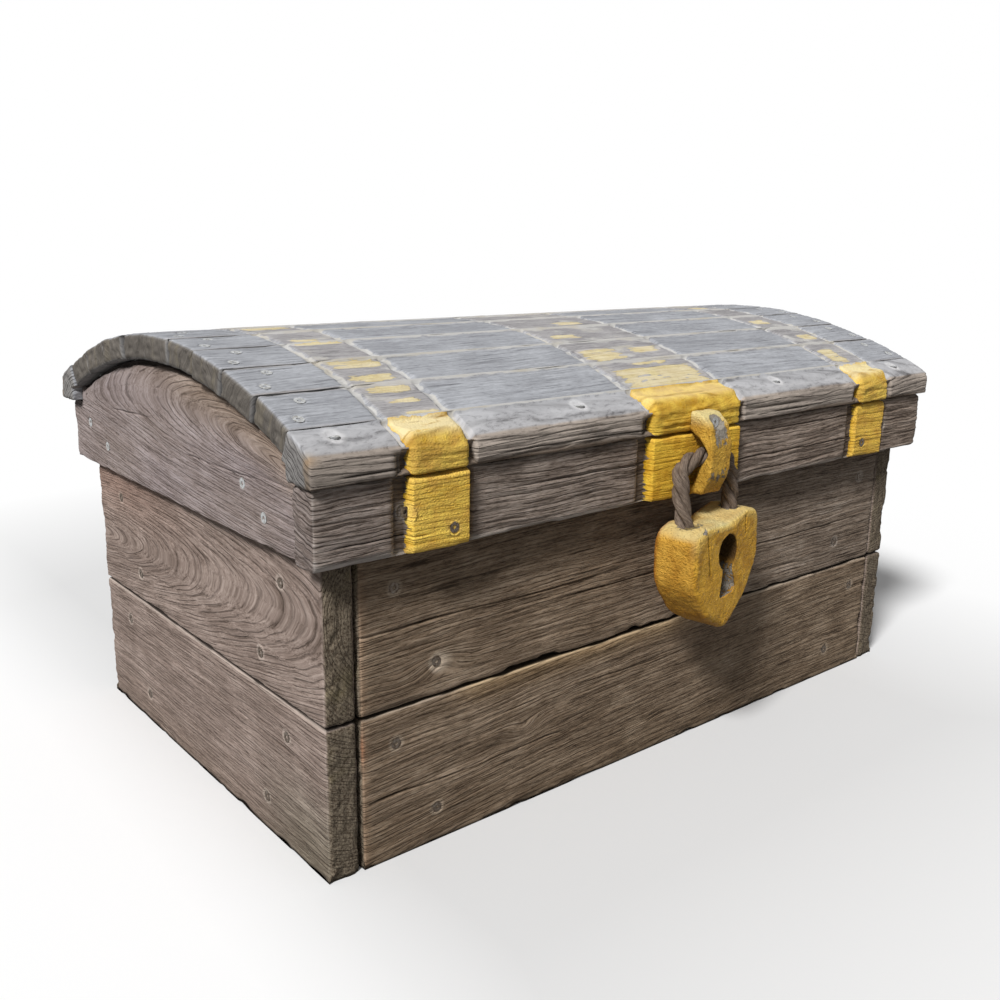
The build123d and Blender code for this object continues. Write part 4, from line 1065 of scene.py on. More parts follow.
# Paint that is left on the roof, per strap: (stave from the front, from, to across the stave,
# from, to along the strap), all as shares
PAINT_LEFT = (
    (0, ((0, 0.04, 0.18, 0.35, 0.95), (0, 0.38, 0.52, 0.25, 0.80), (0, 0.70, 0.94, 0.10, 0.90),
         (1, 0.10, 0.38, 0.08, 0.85), (1, 0.64, 0.96, 0.06, 0.92), (2, 0.86, 0.98, 0.05, 0.95),
         (3, 0.10, 0.30, 0.15, 0.70), (4, 0.55, 0.95, 0.05, 0.90), (5, 0.10, 0.55, 0.10, 0.90),
         (6, 0.20, 0.70, 0.20, 0.90), (7, 0.10, 0.50, 0.15, 0.85), (8, 0.30, 0.80, 0.30, 0.90))),
    (1, ((0, 0.00, 0.70, 0.06, 0.95), (0, 0.82, 0.94, 0.35, 0.78), (1, 0.08, 0.62, 0.04, 0.46),
         (1, 0.30, 0.58, 0.62, 0.94), (2, 0.25, 0.50, 0.08, 0.38), (3, 0.20, 0.50, 0.50, 0.80),
         (5, 0.20, 0.60, 0.05, 0.40), (6, 0.10, 0.60, 0.30, 0.80), (8, 0.20, 0.80, 0.20, 0.80))),
    (2, ((0, 0.10, 0.70, 0.10, 0.60), (1, 0.20, 0.50, 0.40, 0.90), (2, 0.30, 0.60, 0.10, 0.60),
         (4, 0.20, 0.60, 0.20, 0.70), (6, 0.20, 0.70, 0.10, 0.60), (7, 0.20, 0.60, 0.30, 0.80))),
)


def paint_left_on(index, x, share):
    """How much paint is left at a place of a stave: 1 inside the patches, fading over their edges."""
    paint = 0
    for strap, patches in PAINT_LEFT:
        x0, x1 = STRAP_SPANS[strap]
        along = (x - x0) / (x1 - x0)
        for stave, low, high, start, end in patches:
            if stave == index:
                inside = (step(share, low - 0.05, low + 0.06) * step(share, high + 0.05, high - 0.06)
                          * step(along, start - 0.08, start + 0.10)
                          * step(along, end + 0.08, end - 0.10))
                paint = np.maximum(paint, 0.84 * inside)
    return paint


def strap_lichen(x):
    """Lichen in and beside the grooves of the straps, from 0 to 1."""
    total = 0
    for x0, x1 in STRAP_SPANS:
        for groove in (x0 - STRAP_GROOVE / 2, x1 + STRAP_GROOVE / 2):
            total = np.maximum(total, np.exp(-((x - groove) / 0.0062) ** 2))
    return total


def main_stave(index):
    """The section is a sector of the roof's ring: angles across, radii through, carried along X."""
    node = f"stave_{index + 1}"
    left, right = (corner.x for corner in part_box(node))
    start = -seam_angle + index * stave_angle
    half_width = (stave_angle * roof_radius - STAVE_SEAM) / 2
    half_deep = STAVE_THICKNESS / 2
    middle_angle = start + stave_angle / 2
    seed = 41 + index
    screws = []
    for hand in (-1, 1):
        for share, aside in ((STAVE_NEAR, -STAVE_ASIDE), (STAVE_FAR, STAVE_ASIDE)):
            screws.append((hand * (panel_outer - share * PANEL_THICKNESS), aside * stave_angle * roof_radius))

    def shape(s):
        """Sinks the grooves of the straps into the flat timber's top and fills the seams to the next
        staves. Then across becomes an angle and deep a radius, which bends it onto the roof."""
        grid = s["grid"]
        b, c = grid[..., 1].copy(), grid[..., 2].copy()
        wobble = s["along"] + 0.0025 * noise(b / 0.014, s["along"] / 0.2, 0, seed)
        depth = 0.7 * STRAP_GROOVE_DEPTH * (0.75 + 0.45 * noise(s["along"] / 0.006, b / 0.012, 0, seed))
        c = c - depth * groove_share(wobble, 0.0035) * s["front"]
        to_seam = half_width - np.abs(s["b"])
        flank = step(np.abs(s["b"]), half_width - 0.0012, half_width - 0.0003)
        ridge = step(to_seam, 0.0060, 0.0010) * step(np.abs(s["along"]), 0.54, 0.44)
        c = c + 0.0020 * ridge * step(s["c"], half_deep - 0.0070, half_deep - 0.0030)
        closed = ridge * step(noise(s["along"] / 0.05, 0, 0, seed + 6), -0.55, -0.25)
        side = closed * flank * step(s["c"], -0.006, 0.0)
        rim = closed * step(s["c"], half_deep - 0.0016, half_deep - 0.0008) * (to_seam < 0.0030)
        c = c + (half_deep + 0.0014 - c) * rim
        b = b + (np.sign(s["b"]) * (half_width + 0.0006) - b) * side
        snug = flank * step(s["c"], 0.002, -0.004)
        b = b + (np.sign(s["b"]) * (half_width + 0.0003) - b) * snug
        angle = middle_angle + b / roof_radius
        radius = roof_radius - half_deep + c
        grid[..., 1] = lid_middle + radius * np.sin(angle)
        grid[..., 2] = roof_centre + radius * np.cos(angle)

    def dress(s):
        """What is left of the paint, lichen in the grooves and seams, and darker ends and underside."""
        x, marks, tint = s["along"], s["marks"], s["tint"]
        share = (s["b"] + half_width) / (2 * half_width)
        streaks = noise(x / 0.040, s["b"] / 0.0065, 0, seed + 11)
        marks[..., PAINT] = paint_left_on(index, x, share) * s["front"] * (0.94 + 0.22 * streaks)
        inside = sum(strap_share(x, 0.004))
        wobble = x + 0.0030 * noise(s["b"] / 0.012, x / 0.3, 0, seed)
        crumbs = 0.84 + 0.45 * noise(x / 0.009, s["b"] / 0.009, 0, seed + 7)
        crust = np.maximum(strap_lichen(wobble) * crumbs,
                           0.66 * inside * (0.5 + 0.6 * noise(x / 0.03, s["b"] / 0.012, 0, seed)))
        seam = step(half_width - np.abs(s["b"]), 0.0060, 0.0010)
        seam_crust = seam * step(np.abs(x), 0.56, 0.46)
        shown = step(s["c"], half_deep - 0.0110, half_deep - 0.0060) * (1 - s["end"])
        marks[..., LICHEN] = np.clip(0.90 * crust + 0.95 * seam_crust * crumbs, 0, 1) * shown
        marks[..., PALE] *= 0.45
        ends_seam = seam * step(np.abs(x), 0.46, 0.56) * step(half_deep - s["c"], 0.0004, 0.0016)
        at_least(marks, GRIME_AND_SHADE, 0.5 * ends_seam * (1 - s["end"]))
        faded = 0.45 + 0.45 * noise(x / 0.020, s["b"] / 0.008, 0, seed + 9)
        at_least(marks, PALE, faded * (marks[..., PAINT] > 0.2))
        brown = seam * s["front"] * (0.5 + 0.5 * noise(x / 0.10, 0, 0, seed + 3))
        tinge(tint, brown, 0.05, -0.04, -0.12)
        tinge(tint, inside * s["front"], -0.01, -0.07, -0.12)
        tinge(tint, 1 - s["front"], -0.20, -0.24, -0.30)
        streak = s["end"] * step(noise(s["b"] / 0.006, 0, 0, seed + 1), 0.25, 0.7)
        tinge(tint, s["end"], -0.52, -0.56, -0.61)
        tinge(tint, streak, 0.20, 0.18, 0.08)

    piece = straight_timber(f"{node}_timber", (left, -half_width, -half_deep), (right, half_width, half_deep),
                            0, (0, 0, 1), STAVE_PITH[index % len(STAVE_PITH)], seed, screws=screws,
                            strength=0.0010, ends=0.007, radius=0.0014, fine_along=strap_edges,
                            gap=0.0052, face_gap=0.0024, cap_rows=8, shape=shape, dress=dress)
    finish(piece, roof_oak, "lid", "roof_timber", node)


for index in range(MAIN_STAVES):
    main_stave(index)


def rounded_outline(points, rounds, gap):
    """A closed outline through corner points, each rounded by an arc of its radius, as points about gap
    apart. An arc starts where a circle of that radius touches the side before the corner."""
    points = np.array(points, float)
    path = []
    for i, radius in enumerate(rounds):
        before, here, after = points[i - 1], points[i], points[(i + 1) % len(points)]
        a, b = before - here, after - here
        a, b = a / np.linalg.norm(a), b / np.linalg.norm(b)
        half = math.acos(float(np.clip(a @ b, -1, 1))) / 2
        if radius <= 0 or half > 1.55:
            path.append(here[None])
            continue
        reach = radius / math.tan(half)
        centre = here + (a + b) / np.linalg.norm(a + b) * radius / math.sin(half)
        first, last = here + a * reach - centre, here + b * reach - centre
        sweep = math.pi - 2 * half
        t = np.linspace(0, 1, 7)[:, None]
        path.append(centre + (first * np.sin((1 - t) * sweep) + last * np.sin(t * sweep)) / math.sin(sweep))
    path = np.concatenate(path + [path[0][:1]])
    run = np.concatenate([[0], np.cumsum(np.linalg.norm(np.diff(path, axis=0), axis=1))])
    count = int(run[-1] / gap)
    s = np.linspace(0, run[-1], count, endpoint=False)
    return np.stack([np.interp(s, run, path[:, k]) for k in range(path.shape[1])], -1)


EAVE_CRACKS = [(0.5175, -0.62, 0.30, 0.0010, 0.003), (0.5265, -0.30, 0.62, 0.0011, 0.003),
               (0.5340, -0.62, -0.15, 0.0009, 0.002)]
STRAP_ROLL = 0.0052


def eave_stave(node, hand, seed):
    """The section has a flat front over the rail, the roof's arc on top and the arc's inside below. It
    is carried along X, drawn in round its ends, and each point then moves along its normal."""
    left, right = (corner.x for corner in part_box(node))
    front = lid_middle + hand * eave_half
    rail_back = (lid_front + RAIL_THICKNESS) if hand < 0 else (lid_rear - RAIL_THICKNESS)
    inner = roof_radius - STAVE_THICKNESS
    edge = seam_angle - STAVE_SEAM / 2 / roof_radius

    def arc(radius, y0, y1, count):
        y = np.linspace(y0, y1, count)
        return [(v, roof_centre + math.sqrt(radius ** 2 - (v - lid_middle) ** 2)) for v in y]

    seam_y = lid_middle + hand * roof_radius * math.sin(edge)
    low_y = lid_middle + hand * inner * math.sin(edge)
    top = arc(roof_radius, front, seam_y, 6)
    under = arc(inner, low_y, rail_back, 5)
    outline = top + under + [(rail_back, rail_top), (front, rail_top)]
    rounds = [EAVE_ROUND, 0, 0, 0, 0, 0.0012] + [0.001] * 5 + [0.002, 0.003]
    ring = rounded_outline(outline, rounds, 0.0020)
    places = spread(left, right, 0.0048, strap_edges + [s * BOX_HALF for s in EAVE_SCREWS])
    along, drawn, scale = (v[:, None] for v in rows_along(places, 0.006, 8))
    centre = ring.mean(0)
    shrink = (1 - drawn / 0.022) * scale
    y = centre[0] + (ring[:, 0] - centre[0]) * shrink
    z = centre[1] + (ring[:, 1] - centre[1]) * shrink
    x = along + 0 * y
    grid = np.stack([x, y, z], -1)
    normal = outward(grid)
    rings = growth(np.stack([x, z - centre[1], hand * (y - centre[0])], -1), (-0.22, -0.18, 0.01, 0.02), seed)
    end_face = step(np.abs(normal[..., 0]), 0.5, 0.9)
    forward = step(hand * normal[..., 1], 0.35, 0.75) * (1 - end_face)
    upper = step(normal[..., 2], 0.35, 0.75) * (1 - end_face)
    pitted = end_face * step(noise(y / 0.008, z / 0.008, x / 0.05, seed), 0.6, -0.5)
    depth = grain_relief(rings, x, 0.0017, seed, 0.0032) * (1 - end_face) - 0.002 * pitted
    nose = step(hand * (y - front), -0.016, -0.002) * step(z, eave_top - 0.016, eave_top - 0.002)
    wavy = 0.5 + 0.5 * noise(x / 0.11, 0, 0, seed + 2)
    nicks = step(noise(x / 0.02, y / 0.02, z / 0.02, seed + 3), 0.0, 0.7)
    depth = depth - 0.0030 * nose * wavy - 0.0012 * nose * nicks
    low_edge = step(z, rail_top + 0.010, rail_top) * forward
    depth = depth - 0.0022 * low_edge * (0.4 + 0.6 * noise(x / 0.05, 0, 1, seed) ** 2)
    _, sunk, dark = crack_lines(x, z, EAVE_CRACKS, seed)
    depth = depth + sunk * forward
    worn_foot = 0.0055 * step(noise(x / 0.10, 0, 2, seed), -0.2, 0.7) * step(z, rail_top + 0.016, rail_top)
    groove = groove_share(x, 0.0022)
    depth = depth - groove * np.maximum(STRAP_GROOVE_DEPTH * upper, 0.0075 * forward * (1 - nose))
    over_rail = lid_middle + hand * (lid_middle - lid_front - RAIL_THICKNESS / 2)
    spots = [(s * BOX_HALF, over_rail) for s in EAVE_SCREWS]
    pits, rim = dimples(x, y, spots, HEAD_DIMPLE)
    on_top = step(normal[..., 2], 0.5, 0.8)
    depth = np.where(rim * on_top > 0.98, 0, depth) + pits * on_top
    on_strap = sum(strap_share(x, 0.0020, -0.001))
    lumps = noise(x / 0.008, y / 0.005, z / 0.0045, seed + 4)
    behind = hand * (front - y)
    arch = step(behind, 0.038, 0.022) * (0.62 + 0.75 * np.exp(-((behind - 0.012) / 0.010) ** 2))
    roll = sum(strap_share(x, 0.0045, 0.0040))
    proud = STRAP_ROLL * roll * arch * np.clip(upper + nose, 0, 1)
    proud = proud + 0.0038 * roll * forward * (1 - nose)
    depth = depth + proud * (1 - end_face)
    depth = depth + 0.0026 * on_strap * (lumps - 1) / 2 * np.clip(forward + nose, 0, 1) * (1 - end_face)
    depth = depth - HOLLOW_DEPTH * hollow_share(x) * forward * (1 - nose)
    seam_z = roof_centre + roof_radius * math.cos(edge)
    rear = step(hand * (y - seam_y), 0.0045, 0.0008) * step(np.abs(x), 0.56, 0.48)
    rear = rear * step(z, seam_z - 0.010, seam_z - 0.004)
    depth = depth * (1 - rear)
    grid = grid + normal * depth[..., None]
    grid[..., 1] -= hand * 0.0006 * rear
    grid[..., 2] += worn_foot * forward * (1 - on_strap) + 0.0022 * rear
    marks, tint = plain_marks(x.shape)
    shown = np.clip(forward + upper + nose, 0, 1)
    inside = on_strap * shown
    outer = outer_straps(x)
    marks[..., PAINT] = inside * (1 - 0.6 * rear)
    bleach = upper * (1 - inside)
    brow = step(hand * (y - front), -0.013, -0.006) * step(z, eave_top + 0.001, eave_top - 0.005)
    brow = np.maximum(brow, forward)
    marks[..., PALE] = np.clip(0.40 * bleach * (1 - brow) + 0.55 * rim * on_top, 0, 1)
    faded = 0.14 * shown + 0.65 * step(behind, 0.004, 0.020) * np.clip(upper + nose, 0, 1)
    marks[..., PALE] += inside * faded * (outer + 0.5 * (1 - outer))
    marks[..., GRIME_AND_SHADE] = np.clip(0.9 * low_edge * step(z, rail_top + 0.004, rail_top), 0, 1)
    # Painted shade in the grooves and hollows beside the straps, on the front.
    at_least(marks, GRIME_AND_SHADE, 0.7 * np.maximum(groove, hollow_share(x)) * forward * (1 - nose))
    at_least(marks, GRIME_AND_SHADE, dark * forward * (1 - 0.6 * on_strap))
    marks[..., LICHEN] = np.clip(0.70 * strap_lichen(x) * upper * (1 - inside) * (1 - brow), 0, 1)
    crumbs = 0.80 + 0.45 * noise(x / 0.009, y / 0.009, 0, seed + 7)
    at_least(marks, LICHEN, np.clip(0.95 * rear * crumbs, 0, 1))
    tinge(tint, brow * (1 - inside), 0.08, -0.09, -0.26)
    lichen = np.exp(-((x - left) / 0.012) ** 2) * nose
    tinge(tint, lichen, 0.08, -0.08, -0.28)
    tinge(tint, end_face, -0.32, -0.36, -0.42)
    below = step(normal[..., 2], -0.2, -0.7)
    tinge(tint, below, -0.30, -0.36, -0.42)
    piece = skin(f"{node}_timber", grid, carry(marks, tint, grain=grain_of(rings, x, y, z, seed)))
    finish(piece, eave_oak, "lid", "roof_timber", node)


eave_stave("front_eave_stave", -1, 61)
eave_stave("rear_eave_stave", 1, 62)


# Staple: a band between its outline and its hole, 45 mm wide

STAPLE_THICKNESS = 0.045
STAPLE_ROUND = 0.004
SECTION_HALF = 0.010
STAPLE_HEIGHT = 0.122
STAPLE_REACH = 0.043
STAPLE_FOOT = 0.005
STAPLE_WALL = 0.010
HOLE_HEIGHT = 0.074
HOLE_FOOT = 0.017
# Outline and hole from the upper foot round to the lower one, as shares of the reach and the height
STAPLE_OUTER = ((0.00, 1.00), (0.38, 0.99), (0.82, 0.86), (1.00, 0.64), (0.97, 0.27), (0.62, 0.03),
                (0.00, 0.00))
STAPLE_INNER = ((0.00, 1.00), (0.45, 0.90), (0.80, 0.74), (1.00, 0.60), (0.48, 0.28), (0.22, 0.00),
                (0.00, 0.00))
STAPLE_SCREW_REACH, STAPLE_SCREW_RISE, STAPLE_SCREW_SLOPE = 0.62, 0.88, 0.14


def make_staple():
    """Rows run from the upper foot round to the lower one. Each row's ring is a rounded rectangle
    between a point of the outline and the matching point of the hole."""
    strap = lid_front - STRAP_RELIEFS[1]
    foot = lid_under + STAPLE_FOOT
    t = np.linspace(0, len(STAPLE_OUTER) - 1, 110)
    knots = np.arange(len(STAPLE_OUTER))

    def smooth(shares, reach, height, base):
        """The outline's points at even steps, each averaged with its neighbours by a cosine window."""
        shares = np.array(shares)
        y = strap - reach * np.interp(t, knots, shares[:, 0])
        z = base + height * np.interp(t, knots, shares[:, 1])
        window = np.hanning(7)
        window /= window.sum()
        padded = [np.pad(v, 3, mode="reflect", reflect_type="odd") for v in (y, z)]
        return np.stack([np.convolve(v, window, "valid") for v in padded], -1)

    outer = smooth(STAPLE_OUTER, STAPLE_REACH, STAPLE_HEIGHT, foot)
    inner = smooth(STAPLE_INNER, STAPLE_REACH - STAPLE_WALL, HOLE_HEIGHT, foot + HOLE_FOOT)
    middle, half = (outer + inner) / 2, (outer - inner) / 2
    thick = np.linalg.norm(half, axis=1, keepdims=True)
    wide = STAPLE_THICKNESS / 2
    face = spread(STAPLE_ROUND - wide, wide - STAPLE_ROUND, 0.0022)
    ring_x, ring_q = rounded_ring(wide, SECTION_HALF, STAPLE_ROUND, face, 0.004, 0.0022)
    q = ring_q[None, :] / SECTION_HALF
    x = ring_x[None, :] + 0 * thick
    y = middle[:, :1] + half[:, :1] * q
    z = middle[:, 1:] + half[:, 1:] * q
    grid = np.stack([x, y, z], -1)
    normal = outward(grid)
    lumps = noise(x / 0.006, y / 0.006, z / 0.006, 5)
    depth = 0.0009 * (lumps - 1) / 2 + 0.0012 * (noise(x / 0.02, y / 0.02, z / 0.02, 6) - 1) / 2
    screw_y = strap - STAPLE_SCREW_REACH * STAPLE_REACH
    screw_z = foot + STAPLE_SCREW_RISE * STAPLE_HEIGHT
    ahead = np.array([0, 1, -STAPLE_SCREW_SLOPE]) / math.hypot(1, STAPLE_SCREW_SLOPE)
    grid = grid + normal * depth[..., None]
    off = grid - np.array([0, screw_y, screw_z])
    in_front = off @ ahead
    far = np.linalg.norm(off - in_front[..., None] * ahead, axis=-1)
    sink = step(far, 0.0105, 0.0082) * np.clip(0.0010 - in_front, 0, 0.02) * (in_front > -0.02)
    grid = grid + sink[..., None] * ahead
    far = np.where(in_front > 0.006, 1.0, far)
    marks, tint = plain_marks(x.shape)
    outside = np.broadcast_to(step(q, 0.3, 0.9), x.shape)
    facet = np.exp(-((z - screw_z + 0.012) / 0.028) ** 2) * outside * step(np.abs(x), 0.021, 0.010)
    scraped = 0.5 * np.exp(-((z - foot - 0.03) / 0.02) ** 2) * outside * 0.9
    marks[..., BARE] = np.clip(0.62 * facet + scraped, 0, 1)
    at_least(marks, BARE, 0.75 * step(far, 0.016, 0.009))
    marks[..., PALE] = np.clip(0.9 * step(z, foot + 0.80 * STAPLE_HEIGHT, foot + STAPLE_HEIGHT), 0, 0.8)
    # Painted shade: the faces of the hole are darker.
    marks[..., GRIME_AND_SHADE] = np.clip(0.55 * step(-q, 0.4, 0.9) + 0 * x, 0, 1)
    tinge(tint, step(z, foot + 0.03, foot) * outside, -0.15, -0.22, -0.28)
    piece = skin("staple_block", grid, carry(marks, tint))
    finish(piece, staple_paint, "lid", "painted_timber", "staple")


make_staple()


# Padlock: a heart with a keyhole right through it

LOCK_WIDTH, LOCK_HEIGHT, LOCK_THICKNESS = 0.202, 0.176, 0.072
LOCK_ROUND, LOCK_DIP = 0.012, 0.008
LOCK_BASE = (0.0, -0.4295, 0.3903)
LOCK_TURN, LOCK_ROLL = math.radians(11), math.radians(3)
HEART = ((0.60, 0.0), (0.95, 0.05), (1.0, 0.48), (0.60, 0.80))
HEART_ROUNDS = (0.022, 0.022, 0.055, 0.055)
DIP_ROUND, TIP_ROUND = 0.030, 0.020
KEY_BOW, KEY_BOW_DROP = 0.026, 0.054
KEY_WAIST, KEY_WAIST_DROP, KEY_FOOT, KEY_FOOT_DROP = 0.014, 0.084, 0.024, 0.118
KEY_ROUND = 0.003
LOCK_CENTRE = 0.078
# Drying cracks in the front, as (across, lowest point, lean)
LOCK_CRACKS = ((-0.066, -0.085, -0.20), (0.052, -0.050, 0.0), (0.016, -0.024, 0.0))
SOCKETS = ((-0.060, -0.003), (0.060, -0.003))


def polar(points, angles):
    """The outline's distance from the padlock's centre at each angle, which runs from straight up."""
    x, z = points[:, 0], points[:, 1] + LOCK_CENTRE
    turn = np.arctan2(x, z)
    order = np.argsort(turn)
    return np.interp(angles, turn[order], np.hypot(x, z)[order], period=2 * np.pi)


def make_padlock():
    """Rows go round the padlock's centre. Each row's ring goes forward over the outer wall, in over the
    front face, back through the keyhole and out over the back: the radius passes from the heart's
    outline to the keyhole's."""
    right = [(x * LOCK_WIDTH / 2, -drop * LOCK_HEIGHT) for x, drop in HEART]
    left = [(-x, z) for x, z in reversed(right)]
    outline = [(0, -LOCK_DIP)] + right + [(0, -LOCK_HEIGHT)] + left
    rounds = (DIP_ROUND,) + HEART_ROUNDS + (TIP_ROUND,) + HEART_ROUNDS[::-1]
    heart_line = rounded_outline(outline, rounds, 0.0005)
    top = np.linspace(-2.55, 2.55, 60)
    bow = [(KEY_BOW * math.sin(a), KEY_BOW * math.cos(a) - KEY_BOW_DROP) for a in top]
    foot = [(KEY_WAIST, -KEY_WAIST_DROP), (KEY_FOOT, -KEY_FOOT_DROP), (-KEY_FOOT, -KEY_FOOT_DROP),
            (-KEY_WAIST, -KEY_WAIST_DROP)]
    key_line = rounded_outline(bow + foot, [0] * len(bow) + [0.004, 0.007, 0.007, 0.004], 0.0005)
    angle = np.linspace(-np.pi, np.pi, 400, endpoint=False)[:, None]
    heart, key = polar(heart_line, angle), polar(key_line, angle)
    half = LOCK_THICKNESS / 2
    arc = np.linspace(0, np.pi / 2, 6)[1:-1]
    wall = np.linspace(-(half - LOCK_ROUND), half - LOCK_ROUND, 24)
    front = np.linspace(1, 0, 26)
    back = np.linspace(0, 1, 18)
    bore = np.linspace(half - KEY_ROUND, -(half - KEY_ROUND), 20)
    ones, arc_k = np.ones_like, arc[1::2]
    share = np.concatenate([ones(wall), ones(arc), front, 0 * arc_k, 0 * bore, 0 * arc_k, back, ones(arc)])
    out_cut = LOCK_ROUND * np.concatenate([0 * wall, 1 - np.cos(arc), ones(front), ones(arc_k), ones(bore),
                                           ones(arc_k), ones(back), 1 - np.sin(arc)])
    in_cut = KEY_ROUND * np.concatenate([ones(wall), ones(arc), ones(front), 1 - np.sin(arc_k), 0 * bore,
                                         1 - np.cos(arc_k), ones(back), ones(arc)])
    ahead = np.concatenate([wall, half - LOCK_ROUND + LOCK_ROUND * np.sin(arc), half * ones(front),
                            half - KEY_ROUND + KEY_ROUND * np.cos(arc_k), bore,
                            -half + KEY_ROUND - KEY_ROUND * np.sin(arc_k), -half * ones(back),
                            -half + LOCK_ROUND - LOCK_ROUND * np.cos(arc)])
    inner = key + in_cut
    radius = inner + (heart - out_cut - inner) * share
    u = radius * np.sin(angle)
    z = radius * np.cos(angle) - LOCK_CENTRE
    depth = -ahead + 0 * u
    local = np.stack([u, depth, z], -1)
    normal = outward(local, loop=True)
    lumps = noise(u / 0.0055, depth / 0.0055, z / 0.0055, 7)
    swell = noise(u / 0.030, depth / 0.030, z / 0.030, 8)
    sunk = 0.0011 * (lumps - 1) / 2 + 0.0024 * (swell - 1) / 2
    marks, tint = plain_marks(u.shape)
    upward = step(normal[..., 2], 0.35, 0.8) * step(share, 0.5, 0.9)
    face = step(-normal[..., 1], 0.5, 0.9)
    bore_wall = step(np.broadcast_to(share, u.shape), 0.12, 0.0) * (1 - np.abs(normal[..., 1]))
    for socket_u, socket_d in SOCKETS:
        far = np.hypot(u - socket_u, depth - socket_d)
        sunk = sunk - 0.0045 * upward * step(far, 0.0165, 0.0125)
        at_least(marks, BARE, 0.45 * upward * step(far, 0.028, 0.016))
        # Painted shade: a dark ring inside each socket where the rope goes in.
        at_least(marks, GRIME_AND_SHADE, 0.75 * upward * step(far, 0.0165, 0.0140))
    for crack_u, low, lean in LOCK_CRACKS:
        middle = crack_u + lean * z + 0.002 * noise(z / 0.02, crack_u, 0, 9)
        near = np.exp(-((u - middle) / 0.0011) ** 2) * face * step(z, low, low + 0.02)
        sunk = sunk - 0.0022 * near
        at_least(marks, GRIME_AND_SHADE, 0.9 * near)
    local = local + normal * sunk[..., None]
    rim = step(-depth, half - 0.014, half - 0.002) * step(z, -0.05, -0.012) * step(share, 0.8, 1.0)
    wear = step(noise(u / 0.016, depth / 0.02, z / 0.02, 10), 0.15, 0.65)
    marks[..., BARE] += 0.62 * rim * wear + 0.55 * bore_wall * step(z, -0.055, -0.085)
    marks[..., PALE] = 0.80 * upward * (0.6 + 0.5 * noise(u / 0.03, depth / 0.03, 0, 11)) + 0.25 * rim
    # Painted shade inside the keyhole, strongest in its upper part.
    marks[..., GRIME_AND_SHADE] += bore_wall * (0.25 + 0.75 * step(z, -0.092, -0.066))
    # Partly brighter paint and partly painted light: the front face is up to 30 % lighter than the sides, to
    # make up for the key light that only grazes it.
    fresh_and_lit_face = face * step(np.broadcast_to(share, u.shape), 0.0, 0.06)
    tinge(tint, fresh_and_lit_face, 0.26, 0.30, 0.08)
    rear = step(depth, half - 0.012, half - 0.004)
    tinge(tint, rear, -0.15, -0.35, -0.35)
    low_side = step(z, -0.10, -0.15) * (1 - face)
    tinge(tint, low_side, -0.05, -0.12, -0.15)
    roll = np.array([[math.cos(LOCK_ROLL), 0, -math.sin(LOCK_ROLL)], [0, 1, 0],
                     [math.sin(LOCK_ROLL), 0, math.cos(LOCK_ROLL)]])
    turn = np.array([[math.cos(LOCK_TURN), -math.sin(LOCK_TURN), 0],
                     [math.sin(LOCK_TURN), math.cos(LOCK_TURN), 0], [0, 0, 1]])
    world = local @ (turn @ roll).T + np.array(LOCK_BASE)
    piece = skin("padlock_heart", world, carry(marks, tint), loop=True)
    finish(piece, lock_paint, "padlock", "painted_timber", "padlock_block")


make_padlock()


# Materials of the pieces that keep the model's own shape

def sawn(name, along, dark, middle, light):
    """Sawn timber inside the chest, dry and unweathered: fibres and year rings along one axis."""
    material, tree, place = new_material(name)
    fibre = [0.0016] * 3
    fibre[along] = 0.06
    ring = [0.012] * 3
    ring[along] = 0.45
    fine = stretched(tree, place, fibre, 2.0)
    year = stretched(tree, place, ring, 1.0)
    wave = add(tree, "Math", add(tree, "Math", year, 38.0, operation="MULTIPLY"), operation="SINE")
    patch = stretched(tree, place, (0.12, 0.12, 0.12), 2.0)
    tone = add(tree, "Mix", add(tree, "MapRange", fine, 0.3, 0.7), colour(dark), colour(middle),
               data_type="RGBA")
    tone = add(tree, "Mix", add(tree, "MapRange", wave, 0.2, 1.0, 0.0, 0.55), tone, colour(light),
               data_type="RGBA")
    tone = add(tree, "Mix", add(tree, "MapRange", patch, 0.6, 0.35, 0.0, 0.4), tone, colour(dark),
               data_type="RGBA")
    height = add(tree, "Math", fine, add(tree, "Math", wave, 0.25, operation="MULTIPLY"), operation="ADD")
    surface(tree, tone, 0.82, height, 0.0006, 0.3)
    return material


METAL_GRIT = 0.0002


def metal(name, base, worn, roughness, patch_size, metallic):
    """Dull metal with a patchy surface: the base passes into the worn tone over patches."""
    material, tree, place = new_material(name)
    patch = stretched(tree, place, (patch_size,) * 3, 4.0, 0.65)
    fine = stretched(tree, place, (0.0011,) * 3, 2.0)
    tone = add(tree, "Mix", add(tree, "MapRange", patch, 0.42, 0.62), colour(base), colour(worn),
               data_type="RGBA")
    rough = add(tree, "MapRange", patch, 0.35, 0.65, roughness, min(roughness + 0.25, 1.0))
    surface(tree, tone, rough, fine, METAL_GRIT, metallic=metallic)
    return material


# Sawn oak: dry, tan and a little rough, with straight fibres along each piece
SAWN_TONES = ("#6E5A45", "#94795C", "#AD9170")
sawn_along = [sawn(f"sawn_oak_along_{axis}", i, *SAWN_TONES) for i, axis in enumerate("xyz")]
# Galvanised steel: a dull zinc skin with white rust on it, so only partly metallic
zinc = metal("galvanised_steel_screw", "#C3C5C6", "#9B9994", 0.60, 0.004, 0.35)
# Steel screws whose zinc has gone: brown with rust, and dull
dull_steel = metal("rusted_steel_screw", "#6E655B", "#4C3B2E", 0.60, 0.004, 0.5)
# Forged iron under black paint, which lets a little rust through
black_iron = metal("black_painted_iron_hinge", "#1D1D1F", "#3B2A20", 0.42, 0.018, 0.3)
# Plain steel rod, kept bright by turning in its hinge
bright_steel = metal("plain_steel_pin", "#8D8B87", "#5E4A3A", 0.35, 0.006, 1.0)

